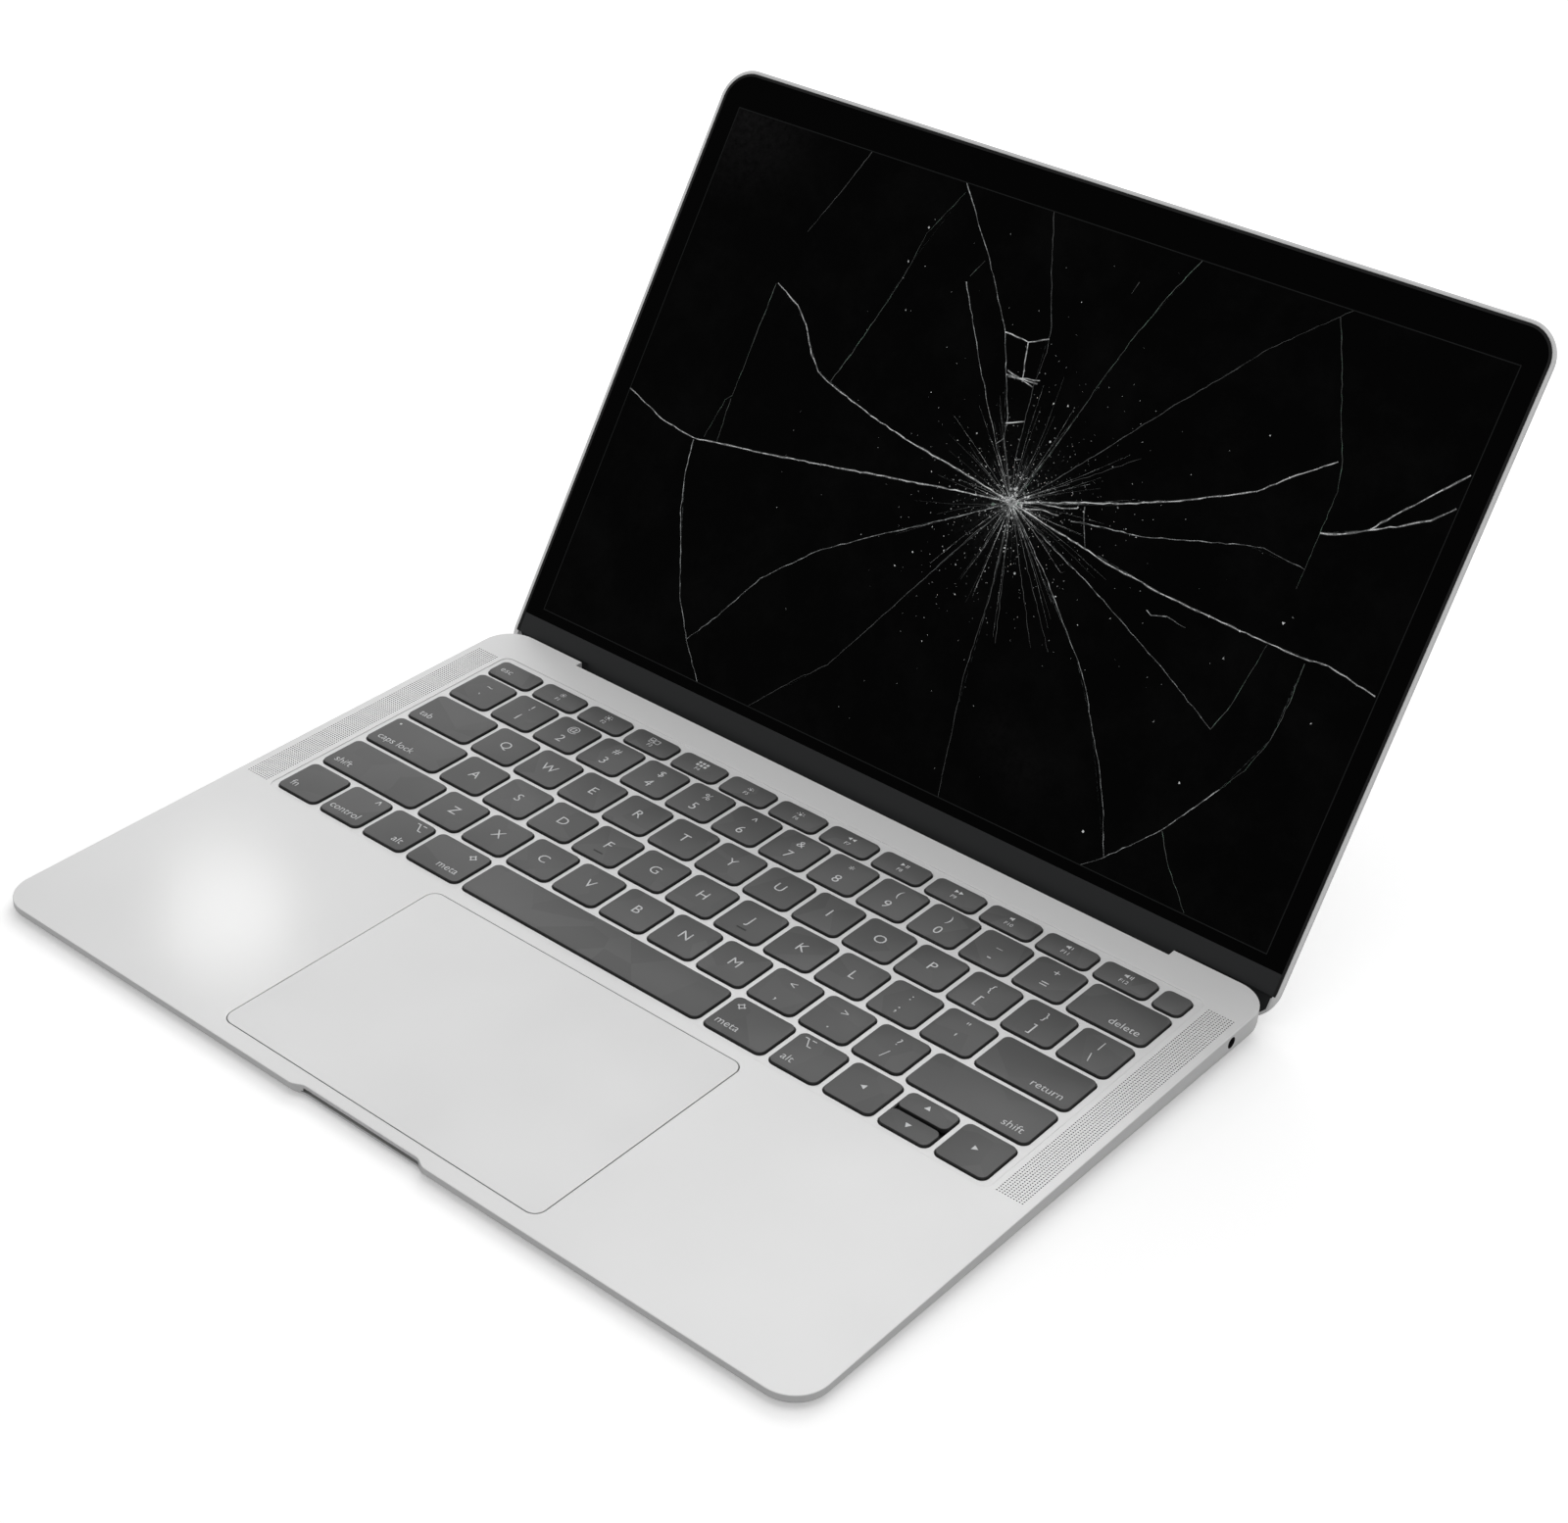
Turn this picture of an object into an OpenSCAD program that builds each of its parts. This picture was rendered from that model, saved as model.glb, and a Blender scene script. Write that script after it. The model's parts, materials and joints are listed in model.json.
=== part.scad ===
// Thin wedge-shaped laptop, lid open, with a shattered display.
// The case stands level on its four feet at z = 0. The deck slopes up to the rear.
// +X is the right-hand side, +Y the rear, +Z up.

/* [Case] */
// Width of the case and of the lid
case_w = 304.1; // [296:0.1:366]
// Depth of the case and of the lid, front edge to rear edge
case_d = 212.4; // [206:0.1:256]
// Radius of the case's corners seen from above
corner_r = 11; // [9:0.5:14]
// Height of the deck above the table at its front edge
deck_front_h = 4.6; // [4.4:0.1:5.6]
// Height of the deck above the table at its rear edge
deck_rear_h = 11.3; // [11:0.1:13.6]
// Height of the side band above the table at the front, where the bottom cover begins
seam_front_h = 2.5; // [2.2:0.1:3]
// Height of the side band above the table at the rear
seam_rear_h = 6.2; // [5.6:0.1:6.6]
// Thickness of the deck
deck_t = 1.2; // [1:0.05:1.3]
// Thickness of the case's side walls
side_t = 1.6; // [1.2:0.1:2]
// Thickness of the bottom cover
cover_t = 0.8; // [0.6:0.05:1]
// How far in from the edge the bottom cover's curved rim reaches
rim_curve_w = 8; // [6:0.5:9]
// Width of the finger scoop in the front edge
scoop_w = 52; // [40:1:62]
// Depth of the finger scoop
scoop_d = 1.8; // [1:0.1:2.2]
// Radius of the rubber feet
foot_r = 6.5; // [5:0.5:7.5]
// How far the feet stand out of the bottom cover
foot_h = 0.7; // [0.6:0.05:1]

/* [Keyboard] */
// Distance from one letter key to the next
key_pitch = 18.97; // [15.8:0.01:19.4]
// Distance from one row of keys to the next
row_pitch = 18.5; // [15.4:0.1:19]
// Width of metal left between two key openings
web_w = 1.45; // [1.2:0.05:2]
// Width of metal between the function row and the number row
function_web_w = 1; // [0.8:0.1:1.6]
// Gap round a key cap in its opening
key_clear = 0.4; // [0.3:0.05:0.5]
// Corner radius of a key cap
cap_r = 2.2; // [1:0.1:2.6]
// How far the key caps stand above the deck
cap_proud = 0.5; // [0.2:0.05:0.6]
// Thickness of a key cap
cap_t = 1.5; // [1.3:0.1:1.6]
// Travel of a key
key_travel = 0.5; // [0.3:0.05:0.55]
// Depth of the function keys' openings
function_row_d = 10.1; // [8:0.1:12]
// Distance from the case's rear edge to the keyboard's rear edge
keyboard_rear_gap = 16.8; // [15:0.1:20]
// Depth of the shallow recess that the keyboard lies in
well_depth = 0.3; // [0.2:0.05:0.4]
// Width of the recess beside the keys
well_side = 1.9; // [1:0.1:2.2]

/* [Trackpad] */
// Width of the trackpad
trackpad_w = 120; // [100:0.5:144]
// Depth of the trackpad
trackpad_d = 81.3; // [67:0.1:83]
// Thickness of the trackpad's plate
trackpad_t = 1; // [0.8:0.1:1.2]
// Corner radius of the trackpad
trackpad_r = 3.5; // [1:0.5:6]
// Gap round the trackpad
trackpad_clear = 0.3; // [0.2:0.05:0.5]
// Distance from the case's front edge to the trackpad
trackpad_front_gap = 6.2; // [5:0.1:12]
// Travel of the trackpad when it is pressed
trackpad_travel = 0.15; // [0.05:0.05:0.2]

/* [Lid] */
// Angle between the deck and the display
lid_open = 122.2; // [60:0.1:128]
// Largest angle that the lid opens to
lid_open_max = 130; // [128:1:130]
// Thickness of the lid
lid_t = 3.9; // [3.7:0.1:4.4]
// Thickness of the lid's back plate
lid_wall = 0.8; // [0.6:0.05:1]
// Gap between the deck and the lid when it is shut
lid_gap = 0.9; // [0.8:0.05:1.2]
// Width of the lid's aluminium rim, seen from the front
lid_rim_w = 1.1; // [0.9:0.1:1.6]
// Width of the rubber gasket round the glass
gasket_w = 0.9; // [0.6:0.1:1.2]
// Thickness of the cover glass
glass_t = 0.8; // [0.6:0.1:1]
// Distance from the hinge axis, up the lid, to the lower edge of the glass
glass_low = 12.2; // [11:0.1:14]
// Distance from the hinge axis, up the lid, to the lower edge of the chin strip
chin_low = 5.4; // [5:0.1:6]
// Distance from the lid's side to the picture area
bezel_side = 8.8; // [6:0.1:12]
// Distance from the lid's top edge to the picture area
bezel_top = 13; // [9:0.1:16]
// Width of the widest crack at the point of impact
crack_w = 0.3; // [0.1:0.05:0.5]
// Depth of the cracks
crack_depth = 0.3; // [0.1:0.05:0.5]

/* [Hinge] */
// Distance from the case's rear edge to the hinge axis
hinge_inset = 4.2; // [4:0.1:4.4]
// Depth of the hinge axis below the deck
hinge_drop = 3.8; // [3.7:0.05:4]
// Half the width of the notch in the deck's rear edge
notch_half_w = 118; // [110:0.5:122]
// Depth of the notch in the deck's rear edge
notch_d = 2.8; // [2.6:0.1:3]
// Radius of the hinge barrels
barrel_r = 2.2; // [1.9:0.1:2.25]
// Radius of the hinge pins
pin_r = 1.2; // [1:0.05:1.4]
// Radial clearance of a shaft in its bore
shaft_clear = 0.03; // [0.02:0.01:0.1]

/* [Sockets] */
// Radius of the headphone socket's bore
jack_r = 1.8; // [1.75:0.05:1.85]
// Depth of the headphone bore's axis below the deck
jack_drop = 2.7; // [2.6:0.05:3]
// Distance from the case's rear edge to the headphone socket
jack_rear = 22.3; // [20:0.1:30]
// Width of a charging socket's opening
usb_w = 8.3; // [8.3:0.05:8.5]
// Height of a charging socket's opening
usb_h = 2.5; // [2.5:0.05:2.6]
// Distance between the two charging sockets
usb_pitch = 14; // [12:0.5:16]

/* [Fan] */
// Radius of the fan's impeller
impeller_r = 19; // [15:0.5:21]
// Number of the fan's blades
blades = 25; // [9:2:31]

/* [Hidden] */

$fn = 48;
eps = 0.01;
far = 400;

aluminium = "#d0d1d3";
cap_grey = "#585858";
black = "#1c1d1f";
steel = "#9a9ca0";

// The deck's plane
tilt = atan((deck_rear_h - deck_front_h) / case_d);
deck_mid_h = (deck_front_h + deck_rear_h) / 2;
seam_mid_h = (seam_front_h + seam_rear_h) / 2;
seam_slope = (seam_rear_h - seam_front_h) / case_d;
function deck_height(y) = deck_mid_h + y * tan(tilt);
floor_h = foot_h + cover_t;

// Inside the case
rear_y = case_d / 2;
inner_half_w = case_w / 2 - side_t;
channel_front_y = rear_y - hinge_inset - 3.4;
channel_wall_t = 1.8;
inner_rear_y = channel_front_y - channel_wall_t;
fit = 0.02;

// Keyboard, measured in the deck's plane
keyboard_units = 14.5;
keyboard_w = keyboard_units * key_pitch - web_w;
open_d = row_pitch - web_w;
keyboard_rear_y = rear_y - keyboard_rear_gap;
number_row_y = keyboard_rear_y - function_row_d - function_web_w;
keyboard_front_y = number_row_y - 4 * row_pitch - open_d;
power_w = function_row_d;
function_pitch = (keyboard_w - power_w) / 13;
arrow_gap = 1.2;
well_front = 1.45;
well_rear = 2.3;
well_r = 3;
cap_bottom = cap_proud - cap_t;
wing_t = 0.55;
wing_top = cap_bottom - key_travel - 0.1;
plate_t = 0.4;
plate_top = wing_top - wing_t;
sheet_t = 0.3;
sheet_bottom = plate_top - plate_t - sheet_t;

// Unit widths of the keys in the five full rows, from the number row forwards
one = [for (i = [0:12]) 1];
number_units = [each one, 1.5];
top_units = [1.5, each one];
home_units = [1.75, for (i = [0:10]) 1, 1.75];
bottom_units = [2.25, for (i = [0:9]) 1, 2.25];
space_units = [1, 1, 1, 1.25, 5, 1.25, 1, 1, 1, 1];
rows = [number_units, top_units, home_units, bottom_units, space_units];

// Speaker grilles
grille_w = 9.4;
grille_front_y = keyboard_front_y + 0.2;
grille_rear_y = keyboard_rear_y + 0.2;
grille_t = 0.6;
grille_x = (keyboard_w / 2 + well_side + case_w / 2 - side_t + 0.4) / 2;

// Trackpad
trackpad_y = -rear_y + trackpad_front_gap + trackpad_d / 2;
bracket_top = -trackpad_t - trackpad_travel - 0.2;

// Hinge and lid. On the lid, Y runs from the hinge axis up the lid and Z towards the user.
hinge_y = rear_y - hinge_inset;
glass_z = -(hinge_drop + lid_gap);
back_z = glass_z - lid_t;
lid_low = -hinge_inset;
lid_high = case_d - hinge_inset;
lid_mid = (lid_low + lid_high) / 2;
recess_z = glass_z - 1.3;
pocket_z = back_z + lid_wall;
glass_half_w = case_w / 2 - lid_rim_w - gasket_w;
glass_high = lid_high - lid_rim_w - gasket_w;
lid_inner_r = corner_r - lid_rim_w;
cover_low = -3.9;
chin_middle_low = 2;
cover_half_w = notch_half_w - 0.6;
web_y0 = -3.4;
web_y1 = -1.75;
pin_x0 = notch_half_w - 26;
pin_x1 = notch_half_w - 10;
eye_clear = 0.6;
arm_w = 4;
panel_z = glass_z - glass_t - 0.05;
window_half_w = case_w / 2 - bezel_side;
window_low = glass_low + 3.5;
window_high = lid_high - bezel_top;

// Screws through the bottom cover
rim_wall = 1.2;
boss_r = 2.3;
screw_r = 0.8;
screw_in = rim_wall + rim_curve_w + boss_r + 0.1;

// Board, fan and sockets
board_h = 3.6;
board_t = 0.8;
board_y0 = rear_y - 62;
board_y1 = rear_y - 15;
board_x0 = -keyboard_w / 2 + 37;
fan_wall = 0.5;
fan_h0 = floor_h + 0.3;
fan_h1 = deck_height(board_y0) + sheet_bottom - 0.2;
fan_y = inner_rear_y - impeller_r - 8;
fan_x = keyboard_w / 2 - impeller_r - 45;
fan_half = impeller_r + 3;
board_x1 = fan_x - fan_half - 2;
shaft_r = 0.8;
jack_y = rear_y - jack_rear;
jack_len = 11;
usb_y = [rear_y - 22, rear_y - 22 - usb_pitch];
usb_drop = deck_t + 0.05 + usb_h / 2 + 0.3;
usb_depth = 7.5;

// Places of the cover's screws. The rear middle ones stay clear of the fan's housing.
rear_screw_x = min(case_w / 9, fan_x - fan_half - boss_r - 0.4);
screw_places = [
    for (s = [-1, 1]) each [
        [s * (case_w / 2 - screw_in), -rear_y + screw_in],
        [s * (trackpad_w / 2 + 15), -rear_y + screw_in],
        [s * (case_w / 2 - screw_in), keyboard_front_y - 19],
        [s * (case_w / 2 - screw_in), rear_y - screw_in],
        [s * rear_screw_x, inner_rear_y - boss_r - 0.1]
    ]
];

// ---------- placing ----------

module on_deck() translate([0, 0, deck_mid_h]) rotate([tilt, 0, 0]) children();

module on_hinge() on_deck() translate([0, hinge_y, -hinge_drop]) children();

module on_lid() on_hinge() rotate([180 - lid_open, 0, 0]) children();

module slab(z0, z1) translate([0, 0, z0]) linear_extrude(z1 - z0) children();

module both_sides() {
    children();
    mirror([1, 0, 0]) children();
}

// A rounded rectangle, its half sizes in whole thousandths so that sides and arcs meet exactly
module rounded(w, d, r) {
    hx = round(500 * w) / 1000;
    hy = round(500 * d) / 1000;
    hr = round(1000 * r) / 1000;
    square([2 * (hx - hr), 2 * hy], center = true);
    square([2 * hx, 2 * (hy - hr)], center = true);
    for (x = [-1, 1], y = [-1, 1]) translate([x * (hx - hr), y * (hy - hr)]) circle(hr);
}

// A box from two corners
module block(a, b) translate(a) cube(b - a);

// A cylinder along X between two x values
module rod_x(x0, x1, r) translate([x0, 0, 0]) rotate([0, 90, 0]) cylinder(h = x1 - x0, r = r);

// ---------- case ----------

module case_outline(inset = 0) rounded(case_w - 2 * inset, case_d - 2 * inset, corner_r - inset);

// Everything below the plane where the side band meets the bottom cover
module below_seam() {
    translate([0, 0, seam_mid_h]) rotate([atan(seam_slope), 0, 0])
        translate([-far, -far, -far]) cube([2 * far, 2 * far, far]);
}

// The finger scoop: a flat-bottomed notch that runs out smoothly at each end
module scoop() {
    steps = 8;
    run = 5;
    function ease(t) = scoop_d * (1 - cos(180 * t)) / 2;
    left = [for (i = [0:steps]) [-scoop_w / 2 + run * i / steps, ease(i / steps)]];
    right = [for (i = [steps:-1:0]) [scoop_w / 2 - run * i / steps, ease(i / steps)]];
    polygon([[-scoop_w / 2, -3], each left, each right, [scoop_w / 2, -3]]);
}

module scoop_cut() on_deck() translate([0, -rear_y, 0]) slab(-20, 5) scoop();

// The space that the lid and its hinge cover sweep between the notch's ends
module hinge_channel() {
    on_deck() block([-notch_half_w, channel_front_y, -20], [notch_half_w, rear_y + 20, -deck_t]);
    on_deck() block([-notch_half_w, rear_y - notch_d, -20], [notch_half_w, rear_y + 20, 5]);
}

// The space under the hinge that the wide open lid and its hinge cover's web take
module lid_clearance() {
    on_hinge() rotate([180 - lid_open_max, 0, 0])
        block([-notch_half_w, -30, -30], [notch_half_w, 60, glass_z + 0.3]);
    on_hinge() rod_x(-notch_half_w, notch_half_w, norm([web_y0, glass_z + 0.3]) + 0.3);
}

module key_openings() {
    for (i = [0:12]) translate([-keyboard_w / 2 + i * function_pitch, keyboard_rear_y - function_row_d])
        opening(function_pitch - web_w, function_row_d);
    translate([keyboard_w / 2 - power_w, keyboard_rear_y - function_row_d]) opening(power_w, power_w);
    for (r = [0:4], i = [0:len(rows[r]) - 1])
        translate([key_x(rows[r], i), number_row_y - r * row_pitch - open_d])
            opening(rows[r][i] * key_pitch - web_w, open_d);
}

// Left edge of the opening of key i in a row of unit widths
function units_before(units, i) = i == 0 ? 0 : units[i - 1] + units_before(units, i - 1);
function key_x(units, i) = -keyboard_w / 2 + units_before(units, i) * key_pitch;

module opening(w, d) translate([w / 2, d / 2]) rounded(w, d, cap_r + key_clear, $fn = 24);

module case_bosses() {
    for (p = screw_places) translate([p.x, p.y, floor_h + 2 * eps])
        cylinder(h = deck_height(p.y) - floor_h - deck_t / 2, r = boss_r);
}

module case_walls() {
    difference() {
        on_deck() slab(-14, 0) case_outline();
        below_seam();
        // main room under the deck
        on_deck() intersection() {
            slab(-20, -deck_t) case_outline(side_t);
            block([-far, -far, -20], [far, inner_rear_y, 0]);
        }
        // corner rooms beside the hinge channel
        for (s = [-1, 1]) on_deck() intersection() {
            slab(-20, -deck_t) case_outline(side_t);
            translate([s * (notch_half_w + side_t + 50), 0, 0])
                block([-50, inner_rear_y - 1, -20], [50, far, 0]);
        }
    }
}

module top_case() {
    color(aluminium) difference() {
        union() {
            case_walls();
            case_bosses();
        }
        hinge_channel();
        scoop_cut();
        on_deck() {
            // keyboard recess and openings
            translate([0, (keyboard_rear_y + well_rear + keyboard_front_y - well_front) / 2, 0])
                slab(-well_depth, 1) rounded(keyboard_w + 2 * well_side,
                    keyboard_rear_y - keyboard_front_y + well_rear + well_front, well_r);
            slab(-2, 1) key_openings();
            // trackpad opening
            translate([0, trackpad_y, 0]) slab(-2, 1)
                rounded(trackpad_w + 2 * trackpad_clear, trackpad_d + 2 * trackpad_clear,
                    trackpad_r + trackpad_clear);
            // the deck is thin behind the speaker grilles
            for (s = [-1, 1]) translate([s * grille_x - grille_w / 2, grille_front_y, 0])
                slab(-deck_t - 1, -grille_t) square([grille_w, grille_rear_y - grille_front_y]);
            // headphone socket: its bore and the pocket over it
            translate([0, jack_y, -jack_drop]) rod_x(case_w / 2 - side_t - 1, case_w / 2 + 1, jack_r);
            block([inner_half_w - jack_len, jack_y - 4, -2], [inner_half_w, jack_y + 4, -deck_t / 2 - 0.1]);
            // charging sockets
            for (y = usb_y) translate([-case_w / 2 - 1, y, -usb_drop]) rotate([90, 0, 90])
                slab(0, side_t + 2) usb_outline(0.35);
            // threaded holes under the hinge brackets
            both_sides() hinge_screw_places() translate([0, 0, -deck_t - 1])
                cylinder(h = 1.5, r = screw_r + fit);
            // vents for the fan through the rear wall of the room
            for (i = [-4:4]) translate([fan_x + i * 4.4, 0, 0])
                block([-1.5, inner_rear_y - 1, -6.2], [1.5, channel_front_y + 1, -2.4]);
            // slots for the hinge brackets
            both_sides() block([pin_x0 + arm_w, inner_rear_y - 1, -deck_t - 3],
                [pin_x1 + 1, channel_front_y + 1, -deck_t]);
        }
        // slot for the display cable
        on_hinge() block([-cable_x - 6, inner_rear_y - hinge_y - 1, -cable_r - 0.7],
            [-cable_x + 6, channel_front_y - hinge_y + 1, -cable_r + 0.4]);
        // threaded holes for the bottom screws
        for (p = screw_places) translate([p.x, p.y, floor_h - 1])
            cylinder(h = deck_height(p.y) - floor_h - deck_t, r = screw_r + fit);
    }
}

// One level of the bottom cover's rounded rim: a is 0 at the seam and 90 at the flat underside
module rim_level(a, inset, bottom_h) {
    s = sin(a);
    mid = seam_mid_h * (1 - s) + bottom_h * s;
    in = inset + rim_curve_w * (1 - cos(a));
    translate([0, (deck_mid_h - mid) * tan(tilt), mid - eps * (1 - s)])
        rotate([atan(seam_slope * (1 - s)), 0, 0]) linear_extrude(eps)
            rounded(case_w - 2 * in, case_d - 2 * in, max(corner_r - in, 2), $fn = 64);
}

module bottom_cover() {
    levels = 7;
    color(aluminium) difference() {
        hull() for (i = [0:levels]) rim_level(90 * i / levels, 0, foot_h);
        hull() {
            for (i = [0:levels]) rim_level(90 * i / levels, rim_wall, floor_h);
            translate([0, 0, 1]) rim_level(0, rim_wall, floor_h);
        }
        scoop_cut();
        lid_clearance();
        for (p = screw_places) translate([p.x, p.y, 0]) {
            cylinder(h = 5, r = screw_r + fit);
            translate([0, 0, foot_h - 1]) cylinder(h = 1.45, r = 1.7);
        }
        for (p = foot_places) translate([p.x, p.y, 0]) cylinder(h = foot_h + 0.3, r = foot_r);
    }
}

module bottom_screws() {
    color(steel) for (p = screw_places) translate([p.x, p.y, foot_h]) difference() {
        union() {
            translate([0, 0, 0.05]) cylinder(h = 0.4, r = 1.65);
            cylinder(h = deck_height(p.y) - floor_h - deck_t - 0.3, r = screw_r);
        }
        translate([0, 0, -1]) cylinder(h = 1.25, r = 0.5, $fn = 5);
    }
}

foot_places = [for (x = [-1, 1], y = [-1, 1]) [x * (case_w / 2 - 27), y * (case_d / 2 - 21)]];

module rubber_feet() {
    color(black) for (p = foot_places) translate([p.x, p.y, 0]) {
        cylinder(h = foot_h, r = foot_r - 0.6);
        translate([0, 0, 0.3]) cylinder(h = foot_h, r = foot_r);
    }
}

// ---------- keyboard ----------

// A key cap in the opening of size w, d whose left front corner is at x, y
module cap(x, y, w, d) {
    color(cap_grey) on_deck() translate([x + w / 2, y + d / 2, 0]) slab(cap_bottom, cap_proud)
        rounded(w - 2 * key_clear, d - 2 * key_clear, cap_r, $fn = 24);
}

module row_key(r, i) {
    cap(key_x(rows[r], i), number_row_y - r * row_pitch - open_d, rows[r][i] * key_pitch - web_w, open_d);
}

module function_key(i) {
    cap(-keyboard_w / 2 + i * function_pitch, keyboard_rear_y - function_row_d,
        function_pitch - web_w, function_row_d);
}

// The up and down arrows share one opening, k is 1 for up and 0 for down
module half_key(k) {
    d = (open_d - 2 * key_clear - arrow_gap) / 2;
    x = key_x(space_units, 8);
    y = number_row_y - 4 * row_pitch - open_d;
    w = key_pitch - web_w;
    color(cap_grey) on_deck() translate([x + w / 2, y + key_clear + d / 2 + k * (d + arrow_gap), 0])
        slab(cap_bottom, cap_proud) rounded(w - 2 * key_clear, d, min(cap_r, d / 3), $fn = 24);
}

// Centres of all the key openings, for what lies under the keys
function row_centres(r) = [for (i = [0:len(rows[r]) - 1])
    [key_x(rows[r], i) + (rows[r][i] * key_pitch - web_w) / 2, number_row_y - r * row_pitch - open_d / 2]];
function_centres = [for (i = [0:12])
    [-keyboard_w / 2 + (i + 0.5) * function_pitch - web_w / 2, keyboard_rear_y - function_row_d / 2]];
full_centres = [for (r = [0:4]) each row_centres(r)];

module key_hinges() {
    wing_w = key_pitch * 0.27;
    wing_d = open_d * 0.62;
    color("#d9dadb") on_deck() slab(plate_top, wing_top) {
        for (c = full_centres, s = [-1, 1]) translate([c.x + s * (wing_w / 2 + 0.2), c.y]) difference() {
            square([wing_w, wing_d], center = true);
            square([wing_w - 2, wing_d - 2.4], center = true);
        }
        for (c = function_centres, s = [-1, 1]) translate([c.x + s * (wing_w / 2 + 0.2), c.y]) difference() {
            square([wing_w, function_row_d * 0.7], center = true);
            square([wing_w - 2, function_row_d * 0.7 - 2.4], center = true);
        }
    }
}

module keyboard_area(grow) {
    translate([0, (keyboard_rear_y + keyboard_front_y) / 2])
        rounded(keyboard_w + 2 * grow, keyboard_rear_y - keyboard_front_y + 2 * grow, 2);
}

module keyboard_plate() {
    color(steel) on_deck() slab(plate_top - eps, -deck_t) difference() {
        keyboard_area(1.6);
        keyboard_area(0.4);
    }
    color(steel) on_deck() slab(plate_top - plate_t, plate_top) difference() {
        keyboard_area(1.6);
        for (c = full_centres) translate([c.x, c.y + open_d * 0.4]) square([4, 1.4], center = true);
        for (c = function_centres) translate(c) square([3, 1], center = true);
    }
}

module key_light_sheet() {
    color("white") on_deck() slab(sheet_bottom, sheet_bottom + sheet_t) keyboard_area(0.3);
}

// ---------- trackpad ----------

module trackpad() {
    color(aluminium) on_deck() translate([0, trackpad_y, 0])
        slab(-trackpad_t, 0) rounded(trackpad_w, trackpad_d, trackpad_r);
}

module trackpad_bracket() {
    bar = 7;
    color(steel) on_deck() translate([0, trackpad_y, 0]) {
        slab(bracket_top - 0.6, bracket_top) difference() {
            rounded(trackpad_w - 4, trackpad_d - 4, 3);
            for (s = [-1, 1]) translate([s * trackpad_w / 4, 0])
                rounded(trackpad_w / 2 - 2 * bar, trackpad_d - 3 * bar, 3);
        }
        // the four flexures that the plate rests over
        for (x = [-1, 1], y = [-1, 1]) translate([x * (trackpad_w / 2 - 12), y * (trackpad_d / 2 - 8), 0])
            slab(bracket_top, bracket_top + 0.1) square([12, 4], center = true);
    }
}

// A flat flexible strip from the trackpad back to the board
module trackpad_cable() {
    strip_w = 6;
    y0 = trackpad_y + trackpad_d / 2 - 12;
    color("#b9722a") on_deck()
        block([-strip_w / 2, y0, sheet_bottom - 0.25], [strip_w / 2, board_y0 + 6, sheet_bottom]);
}

// ---------- inside ----------

// A cell from x0 to x1 and y0 to y1, in steps that follow the slope of what lies over it
module stepped_cell(x0, x1, y0, y1, steps) {
    run = (y1 - y0) / steps;
    for (i = [0:steps - 1]) {
        a = y0 + i * run;
        b = a + run + (i < steps - 1 ? eps : 0);
        under = b > keyboard_front_y - 2 ? sheet_bottom - 0.35 : -deck_t - 0.2;
        block([x0, a, floor_h + 0.35], [x1, b, deck_height(a) + under - 0.1]);
    }
}

battery_rear_y = board_y0 - 3;
battery_front_y = -rear_y + screw_in + boss_r + 0.6;
battery_half_w = keyboard_w / 2 - 2;
cell_x = trackpad_w / 2 + 4;
cell_gap = 1.5;

module battery_cells() {
    color(black) both_sides() {
        stepped_cell(cell_x, battery_half_w, battery_front_y + 0.5, keyboard_front_y - 2 - cell_gap, 4);
        stepped_cell(cell_x, battery_half_w, keyboard_front_y - 1, battery_rear_y, 3);
        stepped_cell(4, cell_x - cell_gap, keyboard_front_y - 1, battery_rear_y, 3);
    }
}

module battery_tray() {
    color("#3a3c40") slab(floor_h + 0.05, floor_h + 0.35) {
        both_sides() {
            translate([cell_x - 1, battery_front_y])
                square([battery_half_w - cell_x + 1.5, battery_rear_y - battery_front_y]);
            translate([3.5, keyboard_front_y - 1.5])
                square([cell_x - 4, battery_rear_y - keyboard_front_y + 1.5]);
        }
        translate([0, keyboard_front_y + 6]) square([8, 9], center = true);
    }
}

// A block with its middle at x, y, and one that stands on the board's upper face
module chip(x, y, w, d, z0, z1) translate([x, y, 0]) slab(z0, z1) square([w, d], center = true);

module top_chip(x, y, h) chip(x, y, 6, 5, board_h + board_t, board_h + board_t + h);

chip_x = board_x0 + 62;
chip_y = (board_y0 + board_y1) / 2 + 3;

module logic_board() {
    color("#20402c") slab(board_h, board_h + board_t) difference() {
        translate([board_x0, board_y0]) square([board_x1 - board_x0, board_y1 - board_y0]);
        translate([board_x0 - 1, board_y1 - 14]) square([14, 15]);
        for (p = board_screw_places) translate(p) circle(screw_r + fit);
    }
    color(black) {
        // processor and memory face the bottom cover, with the storage beside them
        chip(chip_x, chip_y, 20, 16, board_h - 1.1, board_h);
        chip(chip_x + 24, chip_y, 12, 14, board_h - 0.9, board_h);
        chip(chip_x - 26, chip_y, 14, 18, board_h - 0.9, board_h);
        for (i = [0:5]) top_chip(board_x0 + 16 + 9 * i, board_y0 + 6, 0.7);
        for (i = [0:3]) top_chip(board_x0 + 28 + 13 * i, board_y1 - 6, 0.9);
    }
}

board_screw_places = [
    [board_x0 + 6, board_y0 + 6], [board_x0 + 18, board_y1 - 4],
    [board_x1 - 4, board_y1 - 4], [board_x1 - 4, board_y0 + 4]
];

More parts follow.
